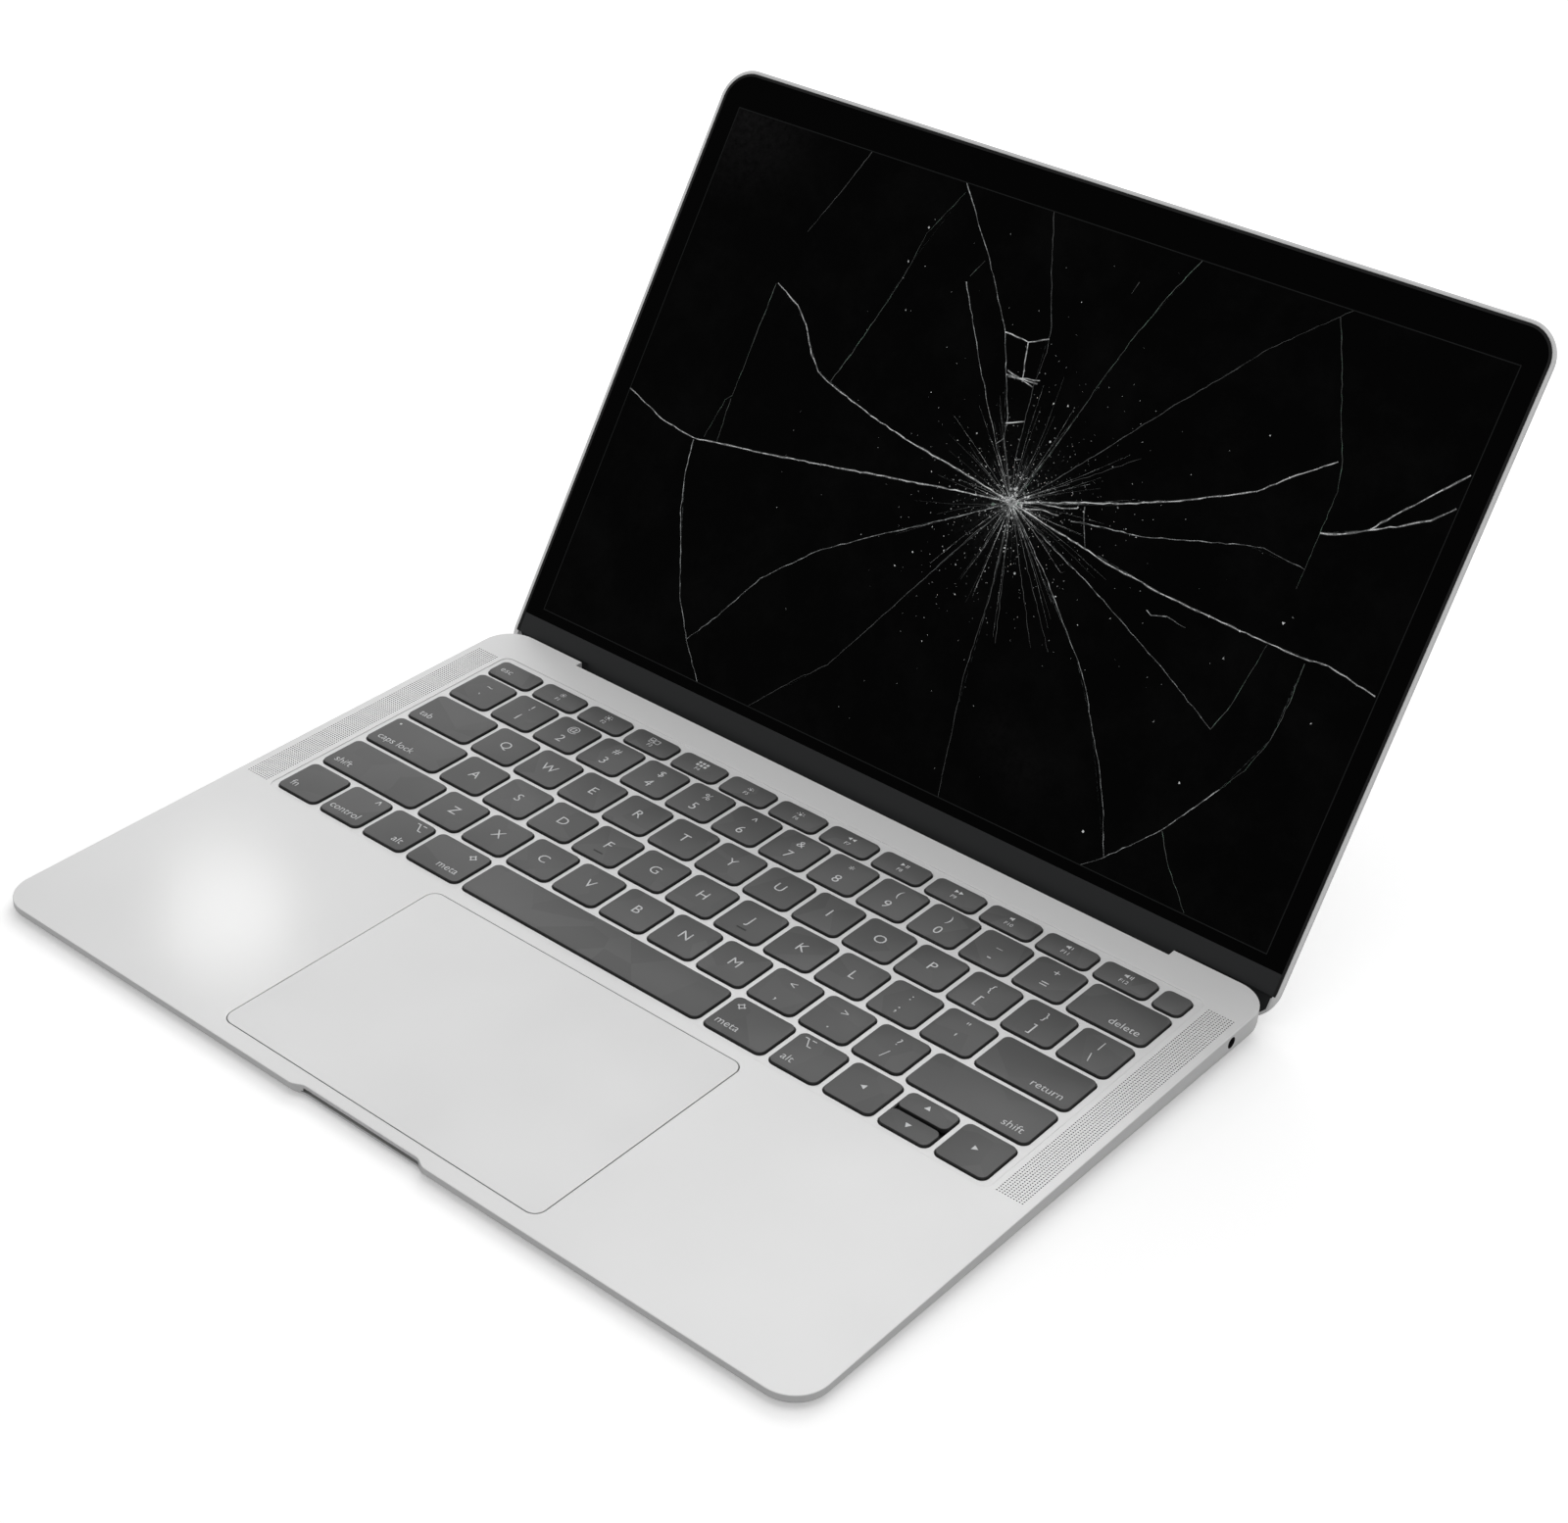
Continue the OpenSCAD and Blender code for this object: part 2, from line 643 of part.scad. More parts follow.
// Screws inside the case: the board's and the hinge brackets'
module inner_screws() {
    color(steel) {
        for (p = board_screw_places) translate([p.x, p.y, 0]) {
            translate([0, 0, board_h - 0.6]) cylinder(h = 0.6, r = 1.6);
            translate([0, 0, board_h - 0.1]) cylinder(h = board_t + 1, r = screw_r);
        }
        both_sides() on_hinge() hinge_screw_places(-hinge_y) {
            translate([0, 0, leaf_low - 0.7]) cylinder(h = 0.7, r = 1.5);
            translate([0, 0, leaf_low - 0.1]) cylinder(h = leaf_high - leaf_low + 0.55, r = screw_r);
        }
    }
}

module heat_sink() {
    top = board_h - 1.1;
    color("#b5b7ba") {
        chip(chip_x, chip_y, 44, 22, top - 0.5, top);
        for (s = [-1, 1], t = [-1, 1]) translate([chip_x + s * 24, chip_y + t * 8, 0])
            slab(top - 0.5, top - 0.2) square([10, 3], center = true);
    }
}

module fan_housing() {
    color("#2a2c2f") difference() {
        translate([fan_x, fan_y, 0]) slab(fan_h0, fan_h1) fan_shape(fan_half);
        translate([fan_x, fan_y, 0]) slab(fan_h0 + fan_wall, fan_h1 - fan_wall) fan_shape(fan_half - 1, 3);
        // the inlets above and below
        translate([fan_x, fan_y, 0]) slab(fan_h1 - fan_wall - 1, fan_h1 + 1) circle(impeller_r - 6);
        translate([fan_x, fan_y, 0]) slab(fan_h0 - 1, fan_h0 + fan_wall + 1) difference() {
            circle(impeller_r - 6);
            circle(7.5);
            for (a = [0, 120, 240]) rotate(a) translate([0, -1]) square([impeller_r, 2]);
        }
    }
    // the fixed shaft that the impeller turns on
    color(steel) translate([fan_x, fan_y, fan_h0])
        cylinder(h = fan_h1 - fan_h0 - fan_wall - 1.2, r = shaft_r);
}

// A round body with its outlet towards the rear wall
module fan_shape(r, more = 0) {
    circle(r);
    translate([-r, 0]) square([2 * r, inner_rear_y - fan_y - 0.6 + more]);
}

module fan_impeller() {
    z0 = fan_h0 + fan_wall + 0.35;
    z1 = fan_h1 - fan_wall - 0.35;
    hub_r = 6.5;
    color(black) translate([fan_x, fan_y, 0]) difference() {
        union() {
            slab(z0, z1) circle(hub_r);
            slab(z0, z0 + 0.5) circle(hub_r + 4);
            for (i = [0:blades - 1]) rotate(i * 360 / blades) translate([hub_r - 0.3, 0, 0]) rotate(-22)
                slab(z0, z1 - 0.3) square([impeller_r - hub_r - 1, 0.6]);
        }
        slab(z0 - 1, z1 - 0.4) circle(shaft_r + shaft_clear);
    }
}

// Speakers under the grilles, in the deck's frame
module speaker() {
    x0 = keyboard_w / 2 + 1.8;
    x1 = inner_half_w - 0.3;
    y0 = grille_front_y + 1;
    y1 = min(jack_y, usb_y[1]) - 8;
    color(black) on_deck() difference() {
        block([x0, y0, -4.2], [x1, y1, -deck_t - 0.05]);
        block([x0 + 1.2, y0 + 6, -1.7], [x1 - 1.2, y0 + 44, 0]);
    }
    color(steel) on_deck() translate([(x0 + x1) / 2, y0 + 25, 0]) {
        slab(-2.2, -1.65) rounded(x1 - x0 - 3.4, 34, 3);
    }
}

module speaker_right() speaker();

module speaker_left() mirror([1, 0, 0]) speaker();

// ---------- sockets ----------

module usb_outline(wall) {
    r = usb_h / 2 + wall;
    hx = usb_w / 2 - usb_h / 2;
    for (s = [-1, 1]) translate([s * hx, 0]) circle(r);
    square([2 * hx, 2 * r], center = true);
}

module charging_sockets() {
    for (y = usb_y) on_deck() translate([-case_w / 2 + 0.15, y, -usb_drop]) rotate([90, 0, 90]) {
        color(steel) difference() {
            slab(0, usb_depth + 1) usb_outline(0.3);
            slab(-1, usb_depth) usb_outline(0);
        }
        color(black) slab(2.2, usb_depth + 0.1) square([usb_w - 1.9, 0.7], center = true);
    }
}

module port_board() {
    top = -usb_drop - usb_h / 2 - 0.3;
    color("#20402c") on_deck() {
        block([-inner_half_w + 0.3, usb_y[1] - 7, top - 0.7], [-inner_half_w + 11, usb_y[0] + 6, top]);
        block([-inner_half_w + 11 - eps, usb_y[1] - 4, top - 0.7],
            [-keyboard_w / 2 + 34, usb_y[1] + 6, top - 0.3]);
    }
}

module headphone_socket() {
    color(black) on_deck() difference() {
        block([inner_half_w - jack_len, jack_y - 3.8, -jack_drop - 2.3],
            [inner_half_w, jack_y + 3.8, -deck_t / 2 - 0.15]);
        translate([0, jack_y, -jack_drop]) rod_x(inner_half_w - jack_len - 1, inner_half_w + 1, jack_r);
    }
}

// ---------- hinges ----------

bracket_front_y = keyboard_rear_y + 1.9;
bracket_len = hinge_y - bracket_front_y;

leaf_low = 0.8;
leaf_high = hinge_drop - deck_t;

module hinge_screw_places(shift = 0) {
    for (x = [pin_x0 + arm_w + 3, pin_x1 - 2.5])
        translate([x, (bracket_front_y + inner_rear_y) / 2 + shift, 0]) children();
}

// Fixed half: an eye round the pin and a leaf under the deck
module hinge_bracket_right() {
    x0 = pin_x0 + arm_w + eye_clear;
    color(steel) difference() {
        union() {
            on_hinge() rod_x(x0, pin_x1, barrel_r);
            on_hinge() block([x0, -bracket_len, leaf_low], [pin_x1, 0, barrel_r]);
            on_hinge() block([x0, -bracket_len, leaf_low],
                [pin_x1, inner_rear_y - hinge_y - 0.5, leaf_high]);
        }
        on_hinge() rod_x(x0 - 1, pin_x1 + 1, pin_r + shaft_clear);
        on_deck() hinge_screw_places() translate([0, 0, -9]) cylinder(h = 9, r = screw_r + fit);
    }
}

module hinge_bracket_left() mirror([1, 0, 0]) hinge_bracket_right();

// Moving half: a pin, a web that leaves it behind the case, and a leaf inside the lid
arm_leaf_high = glass_low + 0.2;

module hinge_arm_right() {
    color(steel) difference() {
        on_lid() union() {
            rod_x(pin_x0, pin_x0 + arm_w, barrel_r);
            rod_x(pin_x0, pin_x1, pin_r);
            block([pin_x0, web_y0, pocket_z], [pin_x0 + arm_w, web_y1, 0]);
            block([pin_x0, web_y0 + 0.9, pocket_z], [pin_x1, arm_leaf_high, pocket_z + 1.2]);
        }
        on_lid() arm_screw_places() translate([0, 0, pocket_z - 1]) cylinder(h = 4, r = screw_r + fit);
    }
}

module hinge_arm_left() mirror([1, 0, 0]) hinge_arm_right();

module arm_screw_places() {
    for (x = [pin_x0 + 4, pin_x1 - 4], y = [chin_low - 2, glass_low - 3])
        translate([x, y, 0]) children();
}

// Screws that hold the hinge arms in the lid
module lid_screws() {
    color(steel) both_sides() on_lid() arm_screw_places() {
        translate([0, 0, pocket_z + 1.2]) cylinder(h = 0.5, r = 1.5);
        translate([0, 0, pocket_z]) cylinder(h = 1.3, r = screw_r);
    }
}

cable_x = notch_half_w - 44;
cable_r = barrel_r - 1.1;
cable_t = 0.3;

// Black cover that hides the hinge: a strip in line with the chin, a web and a barrel on the axis
module hinge_cover() {
    barrel_half = pin_x0 - 1.2;
    color(black) difference() {
        on_lid() union() {
            block([-cover_half_w, cover_low, recess_z], [cover_half_w, chin_middle_low - 0.1, glass_z]);
            block([-barrel_half, web_y0, recess_z], [barrel_half, web_y1, 0]);
            rod_x(-barrel_half, barrel_half, barrel_r);
        }
        // the cables run through the barrel
        on_lid() rod_x(-far, far, barrel_r - 0.8);
        // room for the webs of the hinge arms
        both_sides() on_lid() block([pin_x0 - 0.4, web_y0 - 1, recess_z - 1],
            [pin_x0 + arm_w + 0.4, web_y1 + 0.4, glass_z + 1]);
        // window where the display cable leaves the barrel, and its slot through the strip
        on_lid() block([-cable_x - 7, web_y0 - 1, glass_z],
            [-cable_x + 12, barrel_r + 1, barrel_r + 1]);
        on_lid() block([-cable_x + 5, web_y0 + 0.6, recess_z - 1],
            [-cable_x + 11, web_y1 - 0.1, glass_z + 1]);
    }
}

// ---------- lid ----------

// One level of the lid's back edge: a is 0 at the display side and 90 at the flat back.
// The hinge side is rounded through the whole thickness, the others less.
module back_level(a) {
    side = 2.2 * (1 - cos(a));
    low = lid_low + lid_t * (1 - cos(a));
    high = lid_high - side;
    translate([0, (low + high) / 2, glass_z - lid_t * sin(a)]) linear_extrude(eps)
        rounded(case_w - 2 * side, high - low, corner_r - side, $fn = 64);
}

// The opening inside the rim, from y = low upwards; inset is measured from the rim's inner edge
module lid_opening(inset, low) {
    intersection() {
        translate([0, lid_mid]) rounded(case_w - 2 * lid_rim_w - 2 * inset,
            case_d - 2 * lid_rim_w - 2 * inset, lid_inner_r - inset);
        translate([-far, low]) square([2 * far, far]);
    }
}

module lid_shell() {
    color(aluminium) difference() {
        on_lid() hull() for (a = [0:15:90]) back_level(a);
        on_lid() {
            slab(pocket_z, glass_z + 1) lid_opening(0, chin_low);
            // recess that clears the case's rear corners, and the rear lip
            block([-glass_half_w, lid_low - 5, recess_z], [glass_half_w, chin_low + 1, glass_z + 1]);
            // room for the hinge arms and the cables
            block([-cover_half_w, web_y0, pocket_z], [cover_half_w, chin_low + 1, recess_z + 1]);
        }
    }
}

module display_panel() {
    color("#0c0d0f") on_lid() slab(pocket_z + 0.1, panel_z) translate([-glass_half_w + 3, glass_low + 0.6])
        square([2 * glass_half_w - 6, window_high + 1 - glass_low]);
}

module lid_gasket() {
    color(black) on_lid() slab(glass_z - glass_t - 0.6, glass_z + 0.15) difference() {
        lid_opening(0, chin_low);
        lid_opening(gasket_w, chin_low - 1);
    }
}

// The chin strip: full width above the hinge, and lower between the notch's ends
module chin_strip() {
    color("#2b2c2d") on_lid() slab(glass_z - 1.1, glass_z) {
        intersection() {
            lid_opening(gasket_w + fit, chin_low);
            translate([-far, 0]) square([2 * far, glass_low - 0.05]);
        }
        translate([-cover_half_w, chin_middle_low])
            square([2 * cover_half_w, chin_low - chin_middle_low + 1]);
    }
}

module camera_module() {
    y = (window_high + glass_high) / 2;
    color("#20402c") on_lid() translate([0, y, 0]) {
        slab(pocket_z + 0.1, pocket_z + 0.7) square([46, 6], center = true);
    }
    color(black) on_lid() translate([0, y, pocket_z + 0.6]) {
        translate([-2.5, -2.5, 0]) cube([5, 5, 0.8]);
        cylinder(h = panel_z - pocket_z - 0.6, r = 1.4);
    }
}

// ---------- glass ----------

// The point of impact, and each crack's points, measured from the middle of the hinge axis up
// the lid. They belong to a picture area that reaches from these lowest to these highest values,
// and on_window() moves them with it.
crack_low = [-143.25, 15.7];
crack_high = [143.25, 195.2];
function on_window(p) = [p.x * window_half_w / crack_high.x,
    window_low + (p.y - crack_low.y) * (window_high - window_low) / (crack_high.y - crack_low.y)];
impact = [9.5, 107.7];
cracks = [
    [impact, [-30, 113.2], [-50, 116.7], [-75, 123.7], [-86, 136.2], [-102.5, 145.7]],
    [impact, [-15, 104.2], [-50, 98.2], [-98, 90.7], [-111, 88.7], [-125, 90.2], [-143, 95.9]],
    [impact, [-30, 83.2], [-50, 70.2], [-66, 55.2], [-84, 27.2]],
    [impact, [-10, 74.2], [-30, 38.7], [-52, 16]],
    [[-111, 88.2], [-109, 76.2], [-100, 54.2], [-93, 39.2], [-84, 26.7], [-74, 16]],
    [impact, [-1.5, 125.2], [-9.5, 143.7], [-15.5, 155.7], [-30, 174.2], [-49, 195]],
    [impact, [5, 120.2], [1, 144.2], [-1, 162.2], [-9, 179.2], [-15.5, 195]],
    [impact, [12, 113.2], [18, 134.2], [27, 167.2], [38.5, 195]],
    [impact, [20, 118.2], [50, 154.2], [70, 177.2], [90, 195]],
    [impact, [31, 115.2], [60, 125.7], [84, 137.2], [104, 153.2]],
    [[31, 109.2], [55, 112.7], [88, 121.7], [107.5, 121.2]],
    [impact, [36, 103.7], [70, 99.2], [107, 97.7], [126, 98.2], [143, 95.2]],
    [impact, [45, 93.7], [80, 78.2], [100, 68.2]],
    [impact, [50, 72.7], [64, 55.2], [84.5, 20.7]],
    [impact, [15, 79.2], [20, 39.2], [25, 16]],
    [[119, 96.2], [118.5, 72.2], [110, 53.2], [98, 35.2], [84.5, 20.7], [78.5, 16]],
    [[107.5, 132.5], [121, 138.2], [126, 144.2], [142.5, 162.2]],
    [[-69, 122.2], [-62, 145.2], [-57, 167.2], [-48, 192.2]]
];

// A groove along the points p that narrows to its far end
module groove(p) {
    n = len(p);
    function along(i) = p[min(i + 1, n - 1)] - p[max(i - 1, 0)];
    function side(i) = [-along(i).y, along(i).x] / norm(along(i));
    function half(i) = crack_w / 2 * (1 - 0.8 * i / (n - 1));
    polygon([
        for (i = [0:n - 1]) p[i] + side(i) * half(i),
        for (i = [n - 1:-1:0]) p[i] - side(i) * half(i)
    ]);
}

module cover_glass() {
    color("#050506") difference() {
        on_lid() slab(glass_z - glass_t, glass_z) lid_opening(gasket_w + fit, glass_low);
        for (c = cracks) on_lid() slab(glass_z - crack_depth, glass_z + 1)
            groove([for (p = c) on_window(p)]);
        on_lid() slab(glass_z - crack_depth - 0.1, glass_z + 1)
            translate(on_window(impact)) circle(3 * crack_w, $fn = 9);
    }
}

// ---------- cables ----------

// The half of the display cable that belongs to the case: from the board to the hinge axis
module hinge_cable() {
    color(black) on_hinge() {
        block([-cable_x - 5, -16, -cable_r - cable_t], [-cable_x + 5, 0, -cable_r]);
        rod_x(-cable_x - 5, -cable_x + 5, cable_r + eps);
    }
}

// The half that belongs to the lid: from the axis, through the strip and up behind the chin
module display_cable() {
    x0 = -cable_x + 5.5;
    x1 = -cable_x + 10.5;
    y0 = web_y0 + 0.9;
    z0 = pocket_z + 0.5;
    color(black) on_lid() {
        rod_x(x0, x1 + 0.8, cable_r);
        block([x0, y0, -cable_t], [x1, 0, 0]);
        block([x0, y0, z0], [x1, y0 + cable_t, -cable_t / 2]);
        block([x0, y0, z0], [x1, glass_low + 0.6, z0 + cable_t]);
    }
}

top_case();
bottom_cover();
bottom_screws();
rubber_feet();
keyboard_plate();
key_hinges();
key_light_sheet();
trackpad();
trackpad_bracket();
trackpad_cable();
logic_board();
heat_sink();
fan_housing();
fan_impeller();
battery_tray();
battery_cells();
speaker_left();
speaker_right();
port_board();
charging_sockets();
headphone_socket();
inner_screws();
hinge_bracket_left();
hinge_bracket_right();
hinge_arm_left();
hinge_arm_right();
lid_screws();
hinge_cover();
lid_shell();
display_panel();
cover_glass();
lid_gasket();
chin_strip();
camera_module();
display_cable();
hinge_cable();
function_key(0);  // key_escape
cap(keyboard_w / 2 - power_w, keyboard_rear_y - function_row_d, power_w, power_w);  // key_power
row_key(0, 13);  // key_delete
row_key(1, 0);  // key_tab
row_key(2, 0);  // key_caps_lock
row_key(2, 12);  // key_return
row_key(3, 0);  // key_shift_left
row_key(3, 11);  // key_shift_right
row_key(4, 0);  // key_fn
row_key(4, 1);  // key_control
row_key(4, 2);  // key_alt_left
row_key(4, 3);  // key_meta_left
row_key(4, 4);  // key_space
row_key(4, 5);  // key_meta_right
row_key(4, 6);  // key_alt_right
row_key(4, 7);  // key_arrow_left
half_key(1);  // key_arrow_up
half_key(0);  // key_arrow_down
row_key(4, 9);  // key_arrow_right
for (i = [1:12]) function_key(i);  // keys_function_row
for (i = [0:12]) row_key(0, i);  // keys_number_row
for (i = [1:13]) row_key(1, i);  // keys_top_row
for (i = [1:11]) row_key(2, i);  // keys_home_row
for (i = [1:10]) row_key(3, i);  // keys_bottom_row
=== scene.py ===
import json
import math
import random

import bmesh
import bpy
from mathutils import Matrix, Vector

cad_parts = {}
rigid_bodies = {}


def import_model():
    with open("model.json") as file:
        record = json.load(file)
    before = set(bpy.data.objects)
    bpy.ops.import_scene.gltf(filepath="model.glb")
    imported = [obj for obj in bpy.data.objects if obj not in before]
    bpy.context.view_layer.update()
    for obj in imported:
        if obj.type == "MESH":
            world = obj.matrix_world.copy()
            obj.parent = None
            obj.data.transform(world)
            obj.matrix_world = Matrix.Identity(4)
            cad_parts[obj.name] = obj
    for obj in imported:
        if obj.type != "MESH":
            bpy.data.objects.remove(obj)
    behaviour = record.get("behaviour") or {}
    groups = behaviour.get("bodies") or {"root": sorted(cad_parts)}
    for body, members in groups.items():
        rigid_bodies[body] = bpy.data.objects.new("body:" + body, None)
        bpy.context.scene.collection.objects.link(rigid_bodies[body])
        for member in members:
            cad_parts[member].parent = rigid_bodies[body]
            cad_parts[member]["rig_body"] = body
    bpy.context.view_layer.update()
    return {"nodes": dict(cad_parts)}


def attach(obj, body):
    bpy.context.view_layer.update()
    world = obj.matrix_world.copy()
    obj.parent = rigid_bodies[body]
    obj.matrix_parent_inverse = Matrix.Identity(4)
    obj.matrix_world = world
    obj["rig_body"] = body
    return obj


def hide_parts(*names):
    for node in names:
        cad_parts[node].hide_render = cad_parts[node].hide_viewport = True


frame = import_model()
nodes = frame["nodes"]
print("frame loaded:", len(nodes), "nodes")

mm = 0.001

# The part's own sizes in millimetres, where pieces are set out from them
case = {
    "depth": 212.4,
    "deckFront": 4.6,       # height of the deck at its front edge
    "deckRear": 11.3,
    "hingeInset": 4.2,
    "hingeDrop": 3.8,
    "edgeRounding": 0.225,
    "padRounding": 0.07,
}
lid = {
    "openAngle": 122.2,
    "glassDepth": 4.7,      # the glass lies this far below the hinge axis, towards the back
    "windowHalfWidth": 143.25,
    "windowLow": 15.7,
    "windowHigh": 195.2,
    "impact": (9.5, 107.7),
    "rimRounding": 0.25,
    "ledgeTop": 6,          # the ledge below the chin ends under this height
    "bareRim": 0.9,         # left unpainted round the ledge, from so far across and below so far up
    "bareFrom": 138,
    "bareBelow": 4.4,
    # across, up, radius, strength
    "smudges": ((-138, 194, 32, 0.65), (36, 41, 14, 0.2), (50, 33, 12, 0.2)),
}

rearY = case["depth"] / 2
tilt = math.atan((case["deckRear"] - case["deckFront"]) / case["depth"])
deckPlace = (
    Matrix.Scale(mm, 4)
    @ Matrix.Translation((0, 0, (case["deckRear"] + case["deckFront"]) / 2))
    @ Matrix.Rotation(tilt, 4, "X")
)
lidPlace = (
    deckPlace
    @ Matrix.Translation((0, rearY - case["hingeInset"], -case["hingeDrop"]))
    @ Matrix.Rotation(math.radians(180 - lid["openAngle"]), 4, "X")
)
deckUp = (deckPlace.to_3x3() @ Vector((0, 0, 1))).normalized()


def hexColour(text):
    parts = [int(text[i:i + 2], 16) / 255 for i in (1, 3, 5)]
    return [c / 12.92 if c <= 0.04045 else ((c + 0.055) / 1.055) ** 2.4 for c in parts] + [1]


# An input may be a value, a socket or another node, of which the first output is taken
def addNode(owner, kind, inputs=None, **settings):
    node = owner.node_tree.nodes.new(kind)
    for name, value in settings.items():
        setattr(node, name, value)
    for name, value in (inputs or {}).items():
        if isinstance(value, bpy.types.Node):
            value = value.outputs[0]
        if isinstance(value, bpy.types.NodeSocket):
            owner.node_tree.links.new(value, node.inputs[name])
        else:
            node.inputs[name].default_value = value
    return node


def startMaterial(name, **sockets):
    material = bpy.data.materials.new(name)
    material.use_nodes = True
    shader = material.node_tree.nodes["Principled BSDF"]
    for socket, value in sockets.items():
        shader.inputs[socket.replace("_", " ")].default_value = value
    return material, shader


def wire(owner, output, node, socket):
    owner.node_tree.links.new(output, node.inputs[socket])


def blendColours(material, factor, first, second, low=0.35, high=0.65):
    span = addNode(
        material, "ShaderNodeMapRange", {"Value": factor, "From Min": low, "From Max": high}
    )
    mix = addNode(material, "ShaderNodeMix", {0: span, 6: first, 7: second}, data_type="RGBA")
    return mix.outputs[2]


# Gloss that varies a little with the pattern, and a fine bump
def unevenGloss(material, shader, pattern, low, high, pits=None, depth=0.0):
    gloss = addNode(
        material, "ShaderNodeMapRange",
        {"Value": pattern, "From Min": 0.3, "From Max": 0.7, "To Min": low, "To Max": high},
    )
    wire(material, gloss.outputs[0], shader, "Roughness")
    if depth:
        bump = addNode(material, "ShaderNodeBump", {"Height": pits, "Distance": depth * mm})
        wire(material, bump.outputs[0], shader, "Normal")


# Object coordinates in millimetres in the deck's or the lid's own frame
def frameCoordinates(material, place):
    back = place.inverted()
    return addNode(
        material, "ShaderNodeMapping",
        {
            "Vector": addNode(material, "ShaderNodeTexCoord").outputs["Object"],
            "Location": back.to_translation(),
            "Rotation": back.to_euler(),
            "Scale": back.to_scale(),
        },
    ).outputs[0]


# A plain finish: two close colours in patches of size mm, uneven gloss and a fine bump
def makeFinish(name, colour, shade, size, roughness, metallic=0.0, depth=0.0, **sockets):
    material, shader = startMaterial(name, Metallic=metallic, **sockets)
    place = addNode(material, "ShaderNodeTexCoord").outputs["Object"]
    toneAndSheenPatches = addNode(material, "ShaderNodeTexNoise", {"Vector": place, "Scale": 1 / (size * mm)})
    mottled = blendColours(material, toneAndSheenPatches, hexColour(colour), hexColour(shade))
    wire(material, mottled, shader, "Base Color")
    pits = None
    if depth:
        pits = addNode(
            material, "ShaderNodeTexNoise", {"Vector": place, "Scale": 1 / (size / 6 * mm)}
        )
    unevenGloss(material, shader, toneAndSheenPatches, roughness - 0.05, roughness + 0.05, pits, depth)
    return material


def makeAluminium():
    # bead-blasted anodised aluminium: satin, even, pale silver, with a soft broad highlight
    material, shader = startMaterial(
        "anodisedAluminium", Metallic=0.2, Coat_Weight=0.3, Coat_Roughness=0.14
    )
    place = addNode(material, "ShaderNodeTexCoord").outputs["Object"]
    cloud = addNode(material, "ShaderNodeTexNoise", {"Vector": place, "Scale": 1 / (60 * mm)})
    silver = blendColours(material, cloud, hexColour("#dadada"), hexColour("#d8d8d8"))
    wire(material, silver, shader, "Base Color")
    # the blast's pits are 0.05 mm, drawn at 0.35 mm so that they show
    pits = addNode(material, "ShaderNodeTexNoise", {"Vector": place, "Scale": 1 / (0.35 * mm)})
    unevenGloss(material, shader, cloud, 0.46, 0.5, pits, 0.004)
    return material


def makeCapTopPaintedLight():
    # moulded ABS with a fine spark texture and a soft sheen; the caps are black, and this top is
    # painted light, a dark grey for the overhead light on the tops, in faint painted sheen patches
    material, shader = startMaterial("texturedAbsPaintedLightTop", Specular_IOR_Level=0.5)
    place = addNode(material, "ShaderNodeTexCoord").outputs["Object"]
    # painted sheen: the tops are lighter and darker in 15 mm patches, standing for reflections
    # across the caps
    toneAndSheenPatches = addNode(material, "ShaderNodeTexVoronoi", {"Vector": place, "Scale": 1 / (15 * mm)})
    sheenPatchedGrey = blendColours(
        material, toneAndSheenPatches.outputs["Color"], hexColour("#474747"), hexColour("#4f4f4f")
    )
    wire(material, sheenPatchedGrey, shader, "Base Color")
    wear = addNode(material, "ShaderNodeTexNoise", {"Vector": place, "Scale": 1 / (30 * mm)})
    pits = addNode(material, "ShaderNodeTexNoise", {"Vector": place, "Scale": 1 / (0.25 * mm)})
    unevenGloss(material, shader, wear, 0.46, 0.54, pits, 0.004)
    return material


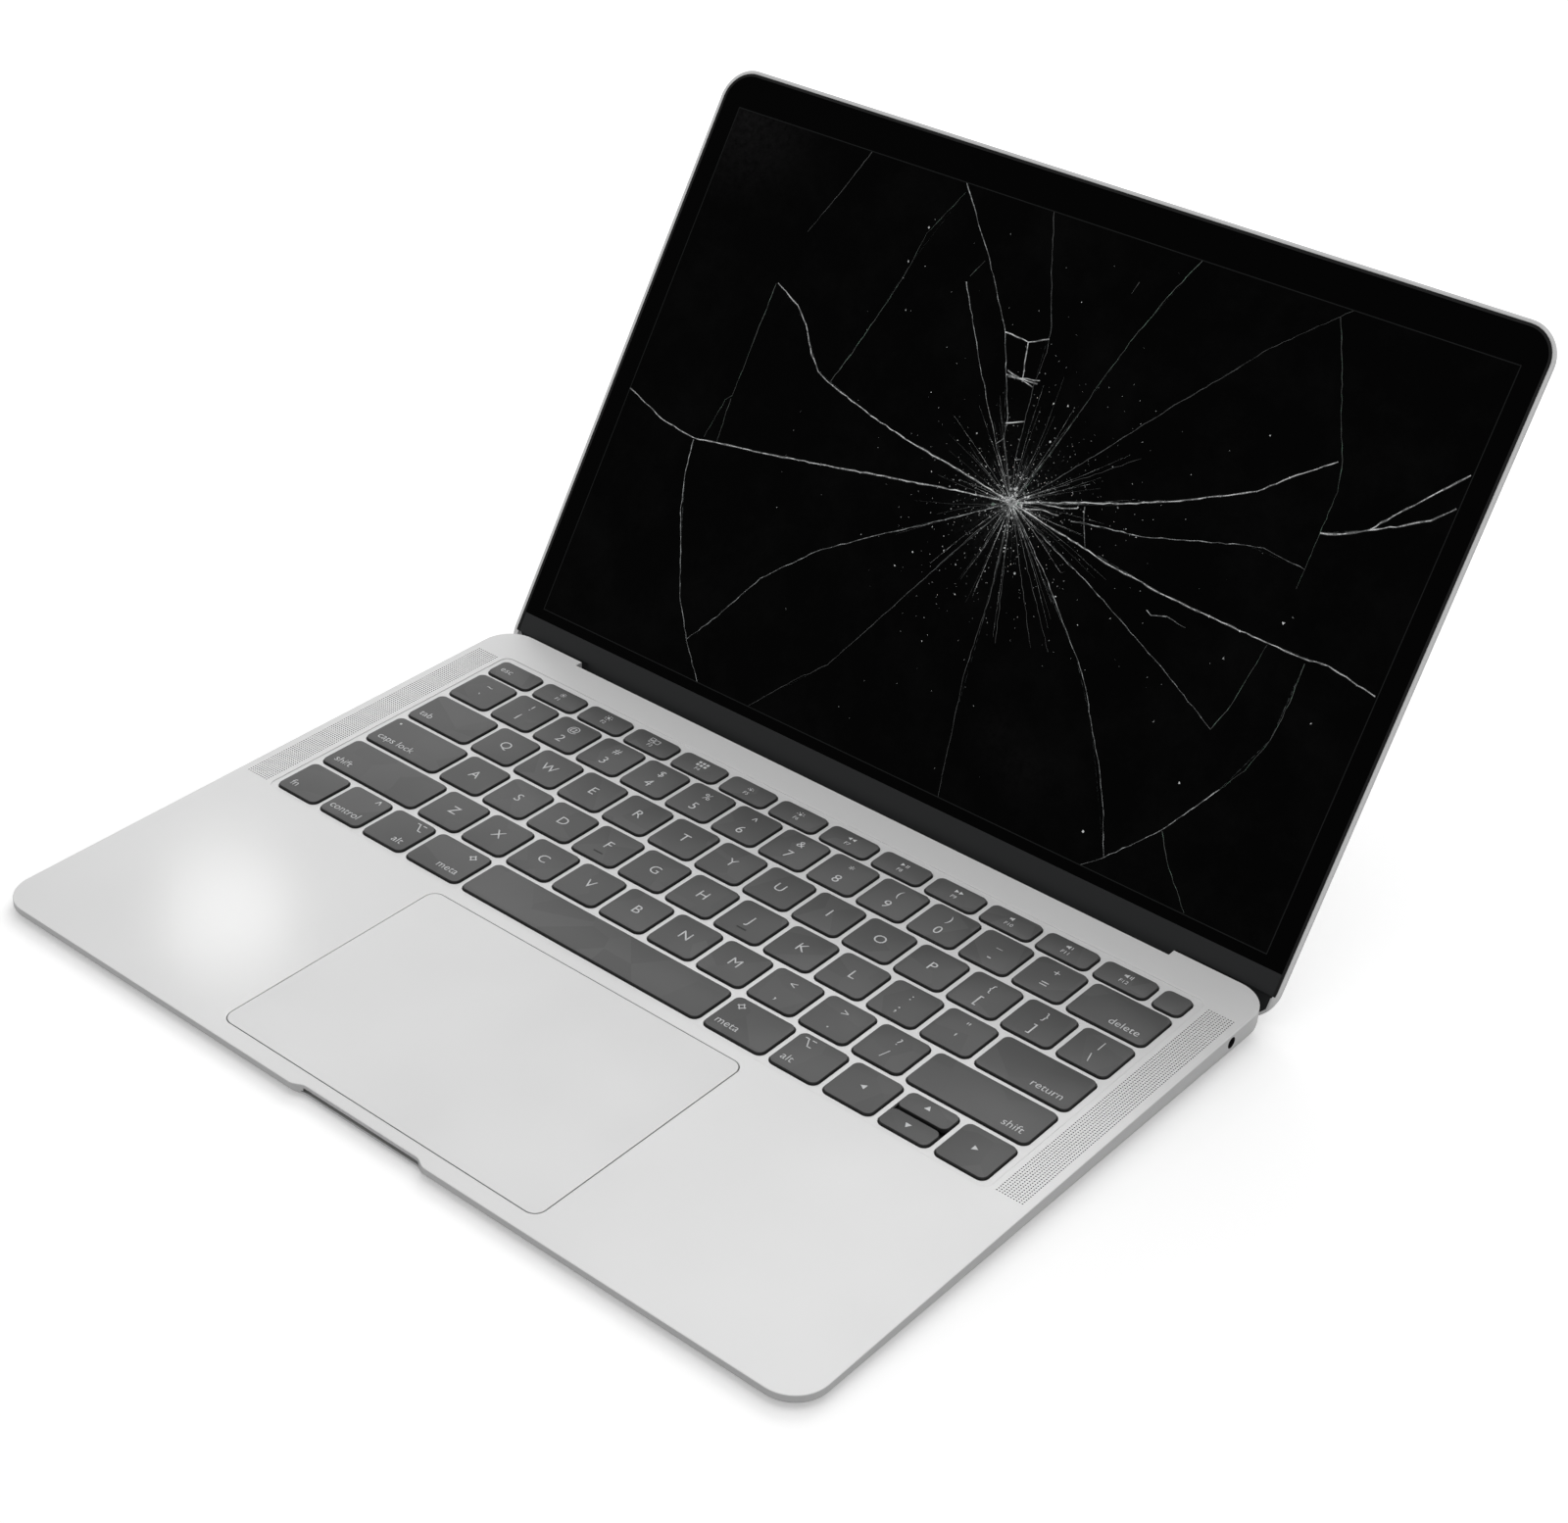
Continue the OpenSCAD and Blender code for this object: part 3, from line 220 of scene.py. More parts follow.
def makeGlass():
    # polished cover glass, printed black behind, coated against glare: near black, crisp weak gloss
    material, shader = startMaterial(
        "blackCoverGlass", Roughness=0.07, Specular_IOR_Level=0.012, IOR=1.5
    )
    place = frameCoordinates(material, lidPlace)
    axes = addNode(material, "ShaderNodeSeparateXYZ", {0: place})
    # how far outside the picture area a point lies, in millimetres
    across = addNode(
        material, "ShaderNodeMath",
        {0: addNode(material, "ShaderNodeMath", {0: axes.outputs[0]}, operation="ABSOLUTE"),
         1: lid["windowHalfWidth"]},
        operation="SUBTRACT",
    )
    middle = (lid["windowLow"] + lid["windowHigh"]) / 2
    up = addNode(material, "ShaderNodeMath", {0: axes.outputs[1], 1: middle}, operation="SUBTRACT")
    up = addNode(
        material, "ShaderNodeMath",
        {0: addNode(material, "ShaderNodeMath", {0: up}, operation="ABSOLUTE"),
         1: (lid["windowHigh"] - lid["windowLow"]) / 2},
        operation="SUBTRACT",
    )
    outside = addNode(material, "ShaderNodeMath", {0: across, 1: up}, operation="MAXIMUM")
    inside = addNode(material, "ShaderNodeMath", {0: outside, 1: 0}, operation="LESS_THAN")
    # the panel behind the window shows a little, unevenly, where the film has come away
    smears = addNode(
        material, "ShaderNodeTexNoise",
        {"Vector": place, "Scale": 1 / 28, "Detail": 6, "Roughness": 0.7},
    )
    panel = blendColours(material, smears, hexColour("#030303"), hexColour("#0c0c0c"), 0.45, 0.8)
    shown = addNode(
        material, "ShaderNodeMix", {0: inside, 6: hexColour("#030303"), 7: panel}, data_type="RGBA"
    )
    # smudges lift the black a little, with a fine speckle
    speckle = addNode(
        material, "ShaderNodeTexNoise",
        {"Vector": place, "Scale": 1 / 2.2, "Detail": 8, "Roughness": 0.8},
    )
    speckle = addNode(
        material, "ShaderNodeMapRange", {"Value": speckle, "From Min": 0.3, "From Max": 0.75}
    )
    for x, y, radius, strength in lid["smudges"]:
        far = addNode(
            material, "ShaderNodeVectorMath",
            {0: place, 1: (x, y, -lid["glassDepth"])}, operation="DISTANCE",
        ).outputs["Value"]
        near = addNode(
            material, "ShaderNodeMapRange",
            {"Value": far, "From Max": radius, "To Min": strength, "To Max": 0},
        )
        amount = addNode(material, "ShaderNodeMath", {0: near, 1: speckle}, operation="MULTIPLY")
        amount = addNode(material, "ShaderNodeMath", {0: amount, 1: inside}, operation="MULTIPLY")
        shown = addNode(
            material, "ShaderNodeMix",
            {0: amount, 6: shown.outputs[2], 7: hexColour("#2a292a")}, data_type="RGBA",
        )
    # the panel's own edge is a thin line
    border = addNode(material, "ShaderNodeMath", {0: outside, 1: 0, 2: 0.15}, operation="COMPARE")
    shown = addNode(
        material, "ShaderNodeMix",
        {0: border, 6: shown.outputs[2], 7: hexColour("#242525")}, data_type="RGBA",
    )
    # powdered glass round the point of impact
    far = addNode(
        material, "ShaderNodeVectorMath",
        {0: place, 1: (*lid["impact"], -lid["glassDepth"])}, operation="DISTANCE",
    ).outputs["Value"]
    near = addNode(
        material, "ShaderNodeMapRange",
        {"Value": far, "From Min": 1, "From Max": 34, "To Min": 1, "To Max": 0},
    )
    near = addNode(material, "ShaderNodeMath", {0: near, 1: 3.0}, operation="POWER")
    powder = addNode(
        material, "ShaderNodeTexNoise",
        {"Vector": place, "Scale": 1 / 1.1, "Detail": 8, "Roughness": 0.8},
    )
    powder = addNode(
        material, "ShaderNodeMapRange",
        {"Value": powder, "From Min": 0.42, "From Max": 0.7, "To Max": 0.1},
    )
    dust = addNode(material, "ShaderNodeMath", {0: near, 1: powder}, operation="MULTIPLY")
    dusty = addNode(
        material, "ShaderNodeMix",
        {0: dust, 6: shown.outputs[2], 7: hexColour("#aab0b0")}, data_type="RGBA",
    )
    # the walls of the cracks are bare broken glass, with painted glints: lighter and darker in
    # noise patches
    groove = addNode(
        material, "ShaderNodeMath",
        {0: axes.outputs[2], 1: -lid["glassDepth"] - 0.03}, operation="LESS_THAN",
    )
    glint = addNode(
        material, "ShaderNodeTexNoise", {"Vector": place, "Scale": 1 / 1.7, "Detail": 4}
    )
    broken = blendColours(material, glint, hexColour("#151616"), hexColour("#8b9090"), 0.4, 0.7)
    whole = addNode(
        material, "ShaderNodeMix", {0: groove, 6: dusty.outputs[2], 7: broken}, data_type="RGBA"
    )
    wire(material, whole.outputs[2], shader, "Base Color")
    return material


def makeBrokenEdge(name, dark, bright, low, high):
    # fresh broken glass edge: white where a facet catches the light, dark where it doesn't
    material, shader = startMaterial(name, Roughness=0.35, Specular_IOR_Level=1.0)
    place = frameCoordinates(material, lidPlace)
    glint = addNode(
        material, "ShaderNodeTexNoise",
        {"Vector": place, "Scale": 1 / 3.2, "Detail": 6, "Roughness": 0.75},
    )
    shown = blendColours(material, glint, hexColour(dark), hexColour(bright), low, high)
    wire(material, shown, shader, "Base Color")
    return material


aluminium = makeAluminium()
# the caps' top finish is painted light: lighter than the caps' own black
capTop = makeCapTopPaintedLight()
coverGlass = makeGlass()
crackBright = makeBrokenEdge("brokenGlassBright", "#4a4e4e", "#fbfdfd", 0.42, 0.56)
crackDim = makeBrokenEdge("brokenGlassDim", "#262929", "#f2f7f7", 0.45, 0.7)
crackFaint = makeBrokenEdge("brokenGlassFaint", "#0a0b0b", "#858c8c", 0.48, 0.84)
crackHaze = makeBrokenEdge("crushedGlass", "#040505", "#121414", 0.38, 0.8)
crackGreen = makeBrokenEdge("brokenGlassGreen", "#0a100c", "#86bf9f", 0.48, 0.8)

finishes = {
    # moulded ABS, the cap's side and skirt: black, only a trace of gloss
    "capSide": makeFinish("moldedAbsSide", "#0b0b0b", "#101010", 4, 0.6),
    # pad-printed ink: pale grey, flat
    "legend": makeFinish("padPrintedInk", "#d8d9da", "#cfd0d1", 3, 0.6),
    # etched glass painted silver behind: the deck's colour, a little smoother
    "trackpad": makeFinish("etchedGlass", "#dddddd", "#dbdbdb", 50, 0.42, 0.15),
    # moulded polycarbonate strip: charcoal, dull
    "chin": makeFinish(
        "mouldedPolycarbonate", "#1c1d1e", "#1f2021", 20, 0.5, depth=0.004, Specular_IOR_Level=0.2
    ),
    # glass-filled nylon: black, dull, slightly mottled
    "black": makeFinish(
        "glassFilledNylon", "#0d0e0f", "#131415", 3, 0.6, depth=0.01, Specular_IOR_Level=0.3
    ),
    # moulded silicone rubber: black, without gloss
    "rubber": makeFinish(
        "siliconeRubber", "#121212", "#181818", 2, 0.75, depth=0.01, Specular_IOR_Level=0.2
    ),
    # stamped stainless steel: grey, lightly streaked gloss
    "steel": makeFinish("stampedStainless", "#9fa1a4", "#aeb0b3", 6, 0.32, 1.0),
    # blackened steel sheet under the keys
    "keyPlate": makeFinish("blackenedSteel", "#0c0c0d", "#131314", 5, 0.6, 0.2),
    # moulded acetal: dark grey, waxy
    "wings": makeFinish("mouldedAcetal", "#2a2a2b", "#303031", 4, 0.45),
    # printed light-guide film: white, smooth
    "film": makeFinish("printedFilm", "#d5d6d8", "#e2e3e4", 8, 0.3),
    # solder mask over copper and glass fibre: deep green, glossy, traces just visible
    "board": makeFinish("solderMask", "#12331f", "#1c4a2e", 2.5, 0.35, depth=0.01),
    # rolled aluminium plate: bright, directional dullness
    "spreader": makeFinish("rolledAluminium", "#b4b6b8", "#c2c4c6", 8, 0.4, 1.0),
    # aluminised foil pouch, printed black: soft gloss with dents
    "pouch": makeFinish("printedFoilPouch", "#17181a", "#202124", 14, 0.4, depth=0.06),
    # polyimide strip with copper inside: amber brown, smooth
    "flex": makeFinish("polyimideStrip", "#3a2a12", "#4a3718", 5, 0.3),
    # painted shade: near-black, given to the aluminium walls of the speaker holes and of the
    # headphone socket's bore, for the shade inside them
    "mesh": makeFinish("paintedShadeInHoles", "#0e0e0e", "#161616", 2, 0.8, Specular_IOR_Level=0.2),
    # polarising film on the panel: black, smooth
    "panel": makeFinish("polarisingFilm", "#070809", "#0c0d0e", 30, 0.25),
}

wearers = {
    "black": [
        "hinge_cover", "fan_housing", "fan_impeller", "battery_tray", "speaker_left",
        "speaker_right", "headphone_socket",
    ],
    "chin": ["chin_strip"],
    "rubber": ["rubber_feet", "lid_gasket"],
    "steel": [
        "bottom_screws", "trackpad_bracket", "inner_screws", "hinge_bracket_left",
        "hinge_bracket_right", "hinge_arm_left", "hinge_arm_right", "lid_screws",
        "charging_sockets",
    ],
    "keyPlate": ["keyboard_plate"],
    "wings": ["key_hinges"],
    "film": ["key_light_sheet"],
    "board": ["logic_board", "port_board", "camera_module"],
    "spreader": ["heat_sink"],
    "pouch": ["battery_cells"],
    "flex": ["trackpad_cable", "display_cable", "hinge_cable"],
    "panel": ["display_panel"],
}
for finish, names in wearers.items():
    for name in names:
        nodes[name].data.materials.clear()
        nodes[name].data.materials.append(finishes[finish])
nodes["cover_glass"].data.materials.clear()
nodes["cover_glass"].data.materials.append(coverGlass)
print("materials made")


def mergedCopy(name):
    mesh = bmesh.new()
    mesh.from_mesh(nodes[name].data)
    bmesh.ops.remove_doubles(mesh, verts=mesh.verts, dist=1e-7)
    bmesh.ops.dissolve_limit(
        mesh, angle_limit=math.radians(0.4), verts=mesh.verts, edges=mesh.edges, delimit={"NORMAL"}
    )
    return mesh


def roundEdges(mesh, edges, width, segments=2):
    bmesh.ops.bevel(
        mesh, geom=edges, offset=width * mm, offset_type="OFFSET", affect="EDGES",
        segments=segments, profile=0.5, material=-1, clamp_overlap=True,
    )


def smoothShading(mesh, angle=20):
    for face in mesh.faces:
        face.smooth = True
    for edge in mesh.edges:
        edge.smooth = edge.calc_face_angle(0) < math.radians(angle)


def finishPiece(name, mesh, materials, body, replaced=None):
    data = bpy.data.meshes.new(name)
    mesh.to_mesh(data)
    mesh.free()
    for material in materials:
        data.materials.append(material)
    piece = bpy.data.objects.new(name, data)
    bpy.context.scene.collection.objects.link(piece)
    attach(piece, body)
    if replaced:
        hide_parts(replaced)
    return piece


deckBack = deckPlace.inverted()
lidBack = lidPlace.inverted()
onSurface = 0.02            # millimetres within which a point counts as on a surface
sharpTurn = math.radians(40)
rimTurn = 24                # degrees that still shade smoothly over the curved rims


# Edges between two faces that turn sharply, and for which test(middle, normals) holds
def edgesWhere(mesh, test):
    found = []
    for edge in mesh.edges:
        if len(edge.link_faces) == 2 and edge.calc_face_angle(0) > sharpTurn:
            middle = (edge.verts[0].co + edge.verts[1].co) / 2
            if test(middle, [face.normal for face in edge.link_faces]):
                found.append(edge)
    return found


def deckEdge(middle, normals):
    spot = deckBack @ middle
    return spot.z > -onSurface and max(normal.dot(deckUp) for normal in normals) > 0.99


# Top case: rounded rim, then the speaker holes
grille = {
    "middleX": 145.0,
    "frontY": -12.5,
    "columns": 10,
    "rows": 112,
    "pitchX": 0.91,
    "pitchY": 0.915,
    "holeRadius": 0.24,
    "drillLength": 2.4,
    "drillMiddle": 0.2,     # above the deck
    "holeFloor": -1.6,
}
headphoneHole = {"rearInset": 22.3, "drop": 2.7, "radius": 1.8}
mesh = mergedCopy("top_case")
roundEdges(mesh, edgesWhere(mesh, deckEdge), case["edgeRounding"])
smoothShading(mesh)
topCase = finishPiece(
    "topCaseFinished", mesh, [aluminium], "base", "top_case"
)

mesh = bmesh.new()
middleColumn = (grille["columns"] - 1) / 2
for side in (-1, 1):
    for column in range(grille["columns"]):
        for row in range(grille["rows"]):
            across = side * grille["middleX"] + (column - middleColumn) * grille["pitchX"]
            along = grille["frontY"] + row * grille["pitchY"]
            bmesh.ops.create_cone(
                mesh, cap_ends=True, segments=6, depth=grille["drillLength"],
                radius1=grille["holeRadius"], radius2=grille["holeRadius"],
                matrix=Matrix.Translation((across, along, grille["drillMiddle"])),
            )
mesh.transform(deckPlace)
drill = finishPiece("speakerHoles", mesh, [aluminium], "base")
bpy.context.view_layer.update()
cut = topCase.modifiers.new("holes", "BOOLEAN")
cut.operation = "DIFFERENCE"
cut.object = drill
cut.solver = "MANIFOLD"
depsgraph = bpy.context.evaluated_depsgraph_get()
drilled = bpy.data.meshes.new_from_object(topCase.evaluated_get(depsgraph))
topCase.modifiers.clear()
mesh = bmesh.new()
mesh.from_mesh(drilled)
halfGrille = grille["columns"] * grille["pitchX"] / 2
# painted shade: the hole walls in the grille and the socket's bore take the near-black second
# finish
for face in mesh.faces:
    spot = deckBack @ face.calc_center_median()
    upright = abs(face.normal.dot(deckUp)) < 0.2
    inGrille = (
        abs(abs(spot.x) - grille["middleX"]) < halfGrille and spot.z > grille["holeFloor"]
        and -1 < (spot.y - grille["frontY"]) / grille["pitchY"] < grille["rows"]
    )
    behind = spot.y - rearY + headphoneHole["rearInset"]
    offAxis = math.hypot(behind, spot.z + headphoneHole["drop"])
    socketBoreShaded = spot.x > 0 and offAxis < headphoneHole["radius"] + onSurface
    face.material_index = 1 if (upright and inGrille) or socketBoreShaded else 0
smoothShading(mesh)
mesh.to_mesh(drilled)
mesh.free()
topCase.data = drilled
# the near-black painted-shade finish for the hole walls
topCase.data.materials.append(finishes["mesh"])
bpy.data.objects.remove(drill)
print("top case drilled:", len(topCase.data.polygons), "faces")


# Trackpad
mesh = mergedCopy("trackpad")
padEdges = edgesWhere(mesh, lambda middle, normals: (deckBack @ middle).z > -onSurface)
roundEdges(mesh, padEdges, case["padRounding"])
smoothShading(mesh)
finishPiece(
    "trackpadFinished", mesh, [finishes["trackpad"]], "trackpad", "trackpad"
)

# Bottom cover and lid shell, smooth over the many small faces of their curved rims
mesh = mergedCopy("bottom_cover")
smoothShading(mesh, rimTurn)
finishPiece("bottomCoverFinished", mesh, [aluminium], "base", "bottom_cover")


def lidRimEdge(middle, normals):
    spot = lidBack @ middle
    return abs(spot.z + lid["glassDepth"]) < 0.03 and spot.y > lid["ledgeTop"]


mesh = mergedCopy("lid_shell")
roundEdges(mesh, edgesWhere(mesh, lidRimEdge), lid["rimRounding"])
lidFront = (lidPlace.to_3x3() @ Vector((0, 0, 1))).normalized()
# the ledge below the chin is painted black, up to a bare rim round the lid's two corners
ledge = []
for face in mesh.faces:
    spot = lidBack @ face.calc_center_median()
    if face.normal.dot(lidFront) > 0.5 and -7 < spot.z < -5 and spot.y < lid["ledgeTop"]:
        ledge.append(face)
        face.material_index = 1
border = bmesh.ops.inset_region(
    mesh, faces=ledge, thickness=lid["bareRim"] * mm, use_even_offset=True, use_boundary=True
)["faces"]
for face in border:
    spot = lidBack @ face.calc_center_median()
    bare = abs(spot.x) > lid["bareFrom"] and spot.y < lid["bareBelow"]
    face.material_index = 0 if bare else 1
print("ledge painted:", len(ledge), "faces,", len(border), "round it")
smoothShading(mesh, rimTurn)
finishPiece(
    "lidShellFinished", mesh, [aluminium, finishes["black"]], "lid", "lid_shell",
)
print("case and lid finished")


keyboard = {
    "pitch": 18.97,
    "rowPitch": 18.5,
    "web": 1.45,
    "rearY": rearY - 16.8,
    "functionDepth": 10.1,
    "functionWeb": 1.0,
    "powerWidth": 10.1,
    "capTop": 0.5,
    "capEdge": 0.28,
}
halfKeyboard = (14.5 * keyboard["pitch"] - keyboard["web"]) / 2
openDepth = keyboard["rowPitch"] - keyboard["web"]
numberRowY = keyboard["rearY"] - keyboard["functionDepth"] - keyboard["functionWeb"]
functionPitch = (2 * halfKeyboard - keyboard["powerWidth"]) / 13
rowUnits = [
    [1] * 13 + [1.5],
    [1.5] + [1] * 13,
    [1.75] + [1] * 11 + [1.75],
    [2.25] + [1] * 10 + [2.25],
    [1, 1, 1, 1.25, 5, 1.25, 1, 1, 1, 1],
]


def keyMiddle(row, index):
    units = rowUnits[row]
    width = units[index] * keyboard["pitch"] - keyboard["web"]
    x = -halfKeyboard + sum(units[:index]) * keyboard["pitch"] + width / 2
    return x, numberRowY - row * keyboard["rowPitch"] - openDepth / 2, width


def capTopEdge(middle, normals):
    return (deckBack @ middle).z > keyboard["capTop"] - onSurface


capNodes = [name for name in nodes if name.startswith("key_") or name.startswith("keys_")]
capNodes = [name for name in capNodes if name not in ("key_hinges", "key_light_sheet")]
for name in capNodes:
    mesh = mergedCopy(name)
    roundEdges(mesh, edgesWhere(mesh, capTopEdge), keyboard["capEdge"], 3)
    mesh.normal_update()
    # painted light: up-facing faces take the top finish, painted dark grey for the overhead light;
    # the rest take the caps' own black
    for face in mesh.faces:
        face.material_index = 0 if face.normal.dot(deckUp) > 0.75 else 1
    smoothShading(mesh)
    finishPiece(
        name + "_cap", mesh, [capTop, finishes["capSide"]], nodes[name]["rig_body"], name,
    )
print("caps finished:", len(capNodes))

# Print on the caps. Each entry is a body, the words and where they stand.
legend = {
    "letter": 3.9,          # height of a capital
    "symbol": 3.2,
    "word": 3.0,
    "small": 1.55,
    "escape": 2.8,
    "control": 3.6,
    "letterDrop": 1.5,      # of a baseline below the cap's middle
    "lowerDrop": 4.9,
    "wordDrop": 5.3,
    "upperRise": 1.95,
    "leftMargin": 3.0,      # of a word from the keyboard's edge
    "rightMargin": 3.8,
    "capitalShare": 0.729,  # of the font's size that a capital takes
    "thin": -0.003,
    "ink": 0.03,
}
texts = []                  # body, text, x, baseline y, capital height, alignment
shapes = {}                 # body: list of (kind, x, y, size)


def write(body, text, x, y, height, align="CENTER"):
    texts.append((body, text, x, y, height, align))


def draw(body, *shape):
    shapes.setdefault(body, []).append(shape)


def pairOnKey(body, row, index, upper, lower):
    x, y, _ = keyMiddle(row, index)
    write(body, upper, x, y + legend["upperRise"], legend["symbol"])
    write(body, lower, x, y - legend["lowerDrop"], legend["letter"])


for index, (upper, lower) in enumerate(zip("~!@#$%^&*()_+", "`1234567890-=")):
    pairOnKey("keys_number_row", 0, index, upper, lower)
for row, first, body, letters in (
    (1, 1, "keys_top_row", "QWERTYUIOP"),
    (2, 1, "keys_home_row", "ASDFGHJKL"),
    (3, 1, "keys_bottom_row", "ZXCVBNM"),
):
    for index, letter in enumerate(letters):
        x, y, _ = keyMiddle(row, first + index)
        write(body, letter, x, y - legend["letterDrop"], legend["letter"])
for row, first, body, uppers, lowers in (
    (1, 11, "keys_top_row", "{}|", "[]\\"),
    (2, 10, "keys_home_row", ":\"", ";'"),
    (3, 8, "keys_bottom_row", "<>?", ",./"),
):
    for index, (upper, lower) in enumerate(zip(uppers, lowers)):
        pairOnKey(body, row, first + index, upper, lower)

leftEdge = -halfKeyboard + legend["leftMargin"]
rightEdge = halfKeyboard - legend["rightMargin"]
for body, text, row, index, x, align in (
    ("key_tab", "tab", 1, 0, leftEdge, "LEFT"),
    ("key_caps_lock", "caps lock", 2, 0, leftEdge, "LEFT"),
    ("key_shift_left", "shift", 3, 0, leftEdge, "LEFT"),
    ("key_fn", "fn", 4, 0, leftEdge, "LEFT"),
    ("key_delete", "delete", 0, 13, rightEdge, "RIGHT"),
    ("key_return", "return", 2, 12, rightEdge, "RIGHT"),
    ("key_shift_right", "shift", 3, 11, rightEdge, "RIGHT"),
    ("key_control", "control", 4, 1, -103.5, "RIGHT"),
    ("key_alt_left", "alt", 4, 2, -84.6, "RIGHT"),
    ("key_meta_left", "meta", 4, 3, -61, "RIGHT"),
    ("key_meta_right", "meta", 4, 5, 41, "LEFT"),
    ("key_alt_right", "alt", 4, 6, 64.8, "LEFT"),
):
    y = keyMiddle(row, index)[1] - legend["wordDrop"]
    write(body, text, x, y, legend["word"], align)
write("key_escape", "esc", leftEdge, keyboard["rearY"] - 6.2, legend["escape"], "LEFT")
write("key_control", "^", -105, keyMiddle(4, 1)[1] + 3.4, legend["control"])

bottomY = keyMiddle(4, 0)[1]
draw("key_meta_left", "diamond", -63, bottomY + 4.6, 1.5)
draw("key_meta_right", "diamond", 43, bottomY + 4.6, 1.5)
draw("key_alt_left", "step", -86.4, bottomY + 4.8, 1.5)
draw("key_alt_right", "step", 66.9, bottomY + 4.8, 1.5)
draw("key_arrow_left", "triangle", 90, -3.8, 1.15, 90)
draw("key_arrow_right", "triangle", 127.3, -3.8, 1.15, -90)
draw("key_arrow_up", "triangle", 108.5, 0.6, 1.15, 0)
draw("key_arrow_down", "triangle", 108.5, -8.4, 1.15, 180)
draw("key_caps_lock", "dot", -133.2, 37.7, 0.45)
for index in (4, 7):
    draw("keys_home_row", "ridge", keyMiddle(2, index)[0], 28.3, 1.8, 0.32)

iconY = keyboard["rearY"] - 3.5
icons = ["sun", "sun", "windows", "grid", "glow", "glow", "back", "play", "ahead"] + ["speaker"] * 3
iconSizes = {1: 0.9, 2: 1.2, 5: 0.9, 6: 1.2}
for index in range(1, 13):
    x = -halfKeyboard + index * functionPitch + (functionPitch - keyboard["web"]) / 2
    write("keys_function_row", "F%d" % index, x, keyboard["rearY"] - 7.0, legend["small"])
    draw("keys_function_row", icons[index - 1], x, iconY, iconSizes.get(index, 1.0), index - 10)


def addDot(mesh, x, y, radius, sides=8, turn=0):
    made = bmesh.ops.create_circle(mesh, cap_ends=True, segments=sides, radius=radius)["verts"]
    place = Matrix.Translation((x, y, 0)) @ Matrix.Rotation(math.radians(turn), 4, "Z")
    bmesh.ops.transform(mesh, matrix=place, verts=made)


def addBar(mesh, x, y, halfWidth, halfHeight, turn=0):
    addDot(mesh, x, y, 2 ** 0.5, 4, turn)
    mesh.verts.ensure_lookup_table()
    made = mesh.verts[-4:]
    spin = Matrix.Translation((x, y, 0)) @ Matrix.Rotation(math.radians(turn), 4, "Z")
    straight = Matrix.Rotation(math.radians(45), 4, "Z")
    bmesh.ops.transform(
        mesh, verts=made,
        matrix=spin @ Matrix.Diagonal((halfWidth, halfHeight, 1, 1)) @ straight @ spin.inverted(),
    )


def addShape(mesh, kind, x, y, size, extra=0.0):
    if kind == "dot":
        addDot(mesh, x, y, size)
    elif kind == "ridge":
        addBar(mesh, x, y, size, extra)
        mesh.verts.ensure_lookup_table()
        mesh.verts[-1].link_faces[0].material_index = 1
    elif kind == "triangle":
        addDot(mesh, x, y, size, 3, extra)
    elif kind == "diamond":
        for turn in (45, 135, 225, 315):
            a = math.radians(turn)
            middle = x + size * 0.5 * math.cos(a), y + size * 0.5 * math.sin(a)
            addBar(mesh, *middle, 0.16, size * 0.75, turn)
    elif kind == "step":
        addBar(mesh, x - size * 0.8, y + size, size * 0.5, 0.16)
        addBar(mesh, x, y, 0.16, size * 1.15, 28)
        addBar(mesh, x + size * 0.9, y - size, size * 0.5, 0.16)
        addBar(mesh, x + size * 0.8, y + size, size * 0.5, 0.16)
    elif kind in ("sun", "glow"):
        rays, drop = (8, 0) if kind == "sun" else (5, 0.5)
        addDot(mesh, x, y - drop, size * 0.42)
        for ray in range(rays):
            a = math.radians(ray * 45)
            tip = x + size * math.cos(a), y - drop + size * math.sin(a)
            addBar(mesh, *tip, size * 0.2, 0.12, ray * 45)
    elif kind == "windows":
        for dx, dy, w, h in ((-1.2, 0.5, 0.8, 0.6), (-0.9, -0.9, 0.9, 0.45), (1.0, -0.2, 0.9, 0.9)):
            sides = ((0, h, w, 0.1), (0, -h, w, 0.1), (-w, 0, 0.1, h), (w, 0, 0.1, h))
            for sx, sy, halfWidth, halfHeight in sides:
                addBar(mesh, x + dx + sx, y + dy + sy, halfWidth, halfHeight)
    elif kind == "grid":
        for column in (-1, 0, 1):
            for row in (-0.5, 0.5):
                addBar(mesh, x + column * 1.5, y + row * 1.5, 0.5, 0.5)
    elif kind in ("back", "ahead"):
        turn = 90 if kind == "back" else -90
        addDot(mesh, x - 0.8, y, 0.85, 3, turn)
        addDot(mesh, x + 0.8, y, 0.85, 3, turn)
    elif kind == "play":
        addDot(mesh, x - 0.8, y, 0.85, 3, -90)
        addBar(mesh, x + 0.7, y, 0.13, 0.75)
        addBar(mesh, x + 1.3, y, 0.13, 0.75)
    elif kind == "speaker":
        addDot(mesh, x - 0.5, y, 0.95, 3, 90)
        addBar(mesh, x - 1.0, y, 0.35, 0.4)
        for wave in range(int(extra)):
            addBar(mesh, x + 0.7 + wave * 0.6, y, 0.12, 0.6 + wave * 0.3)


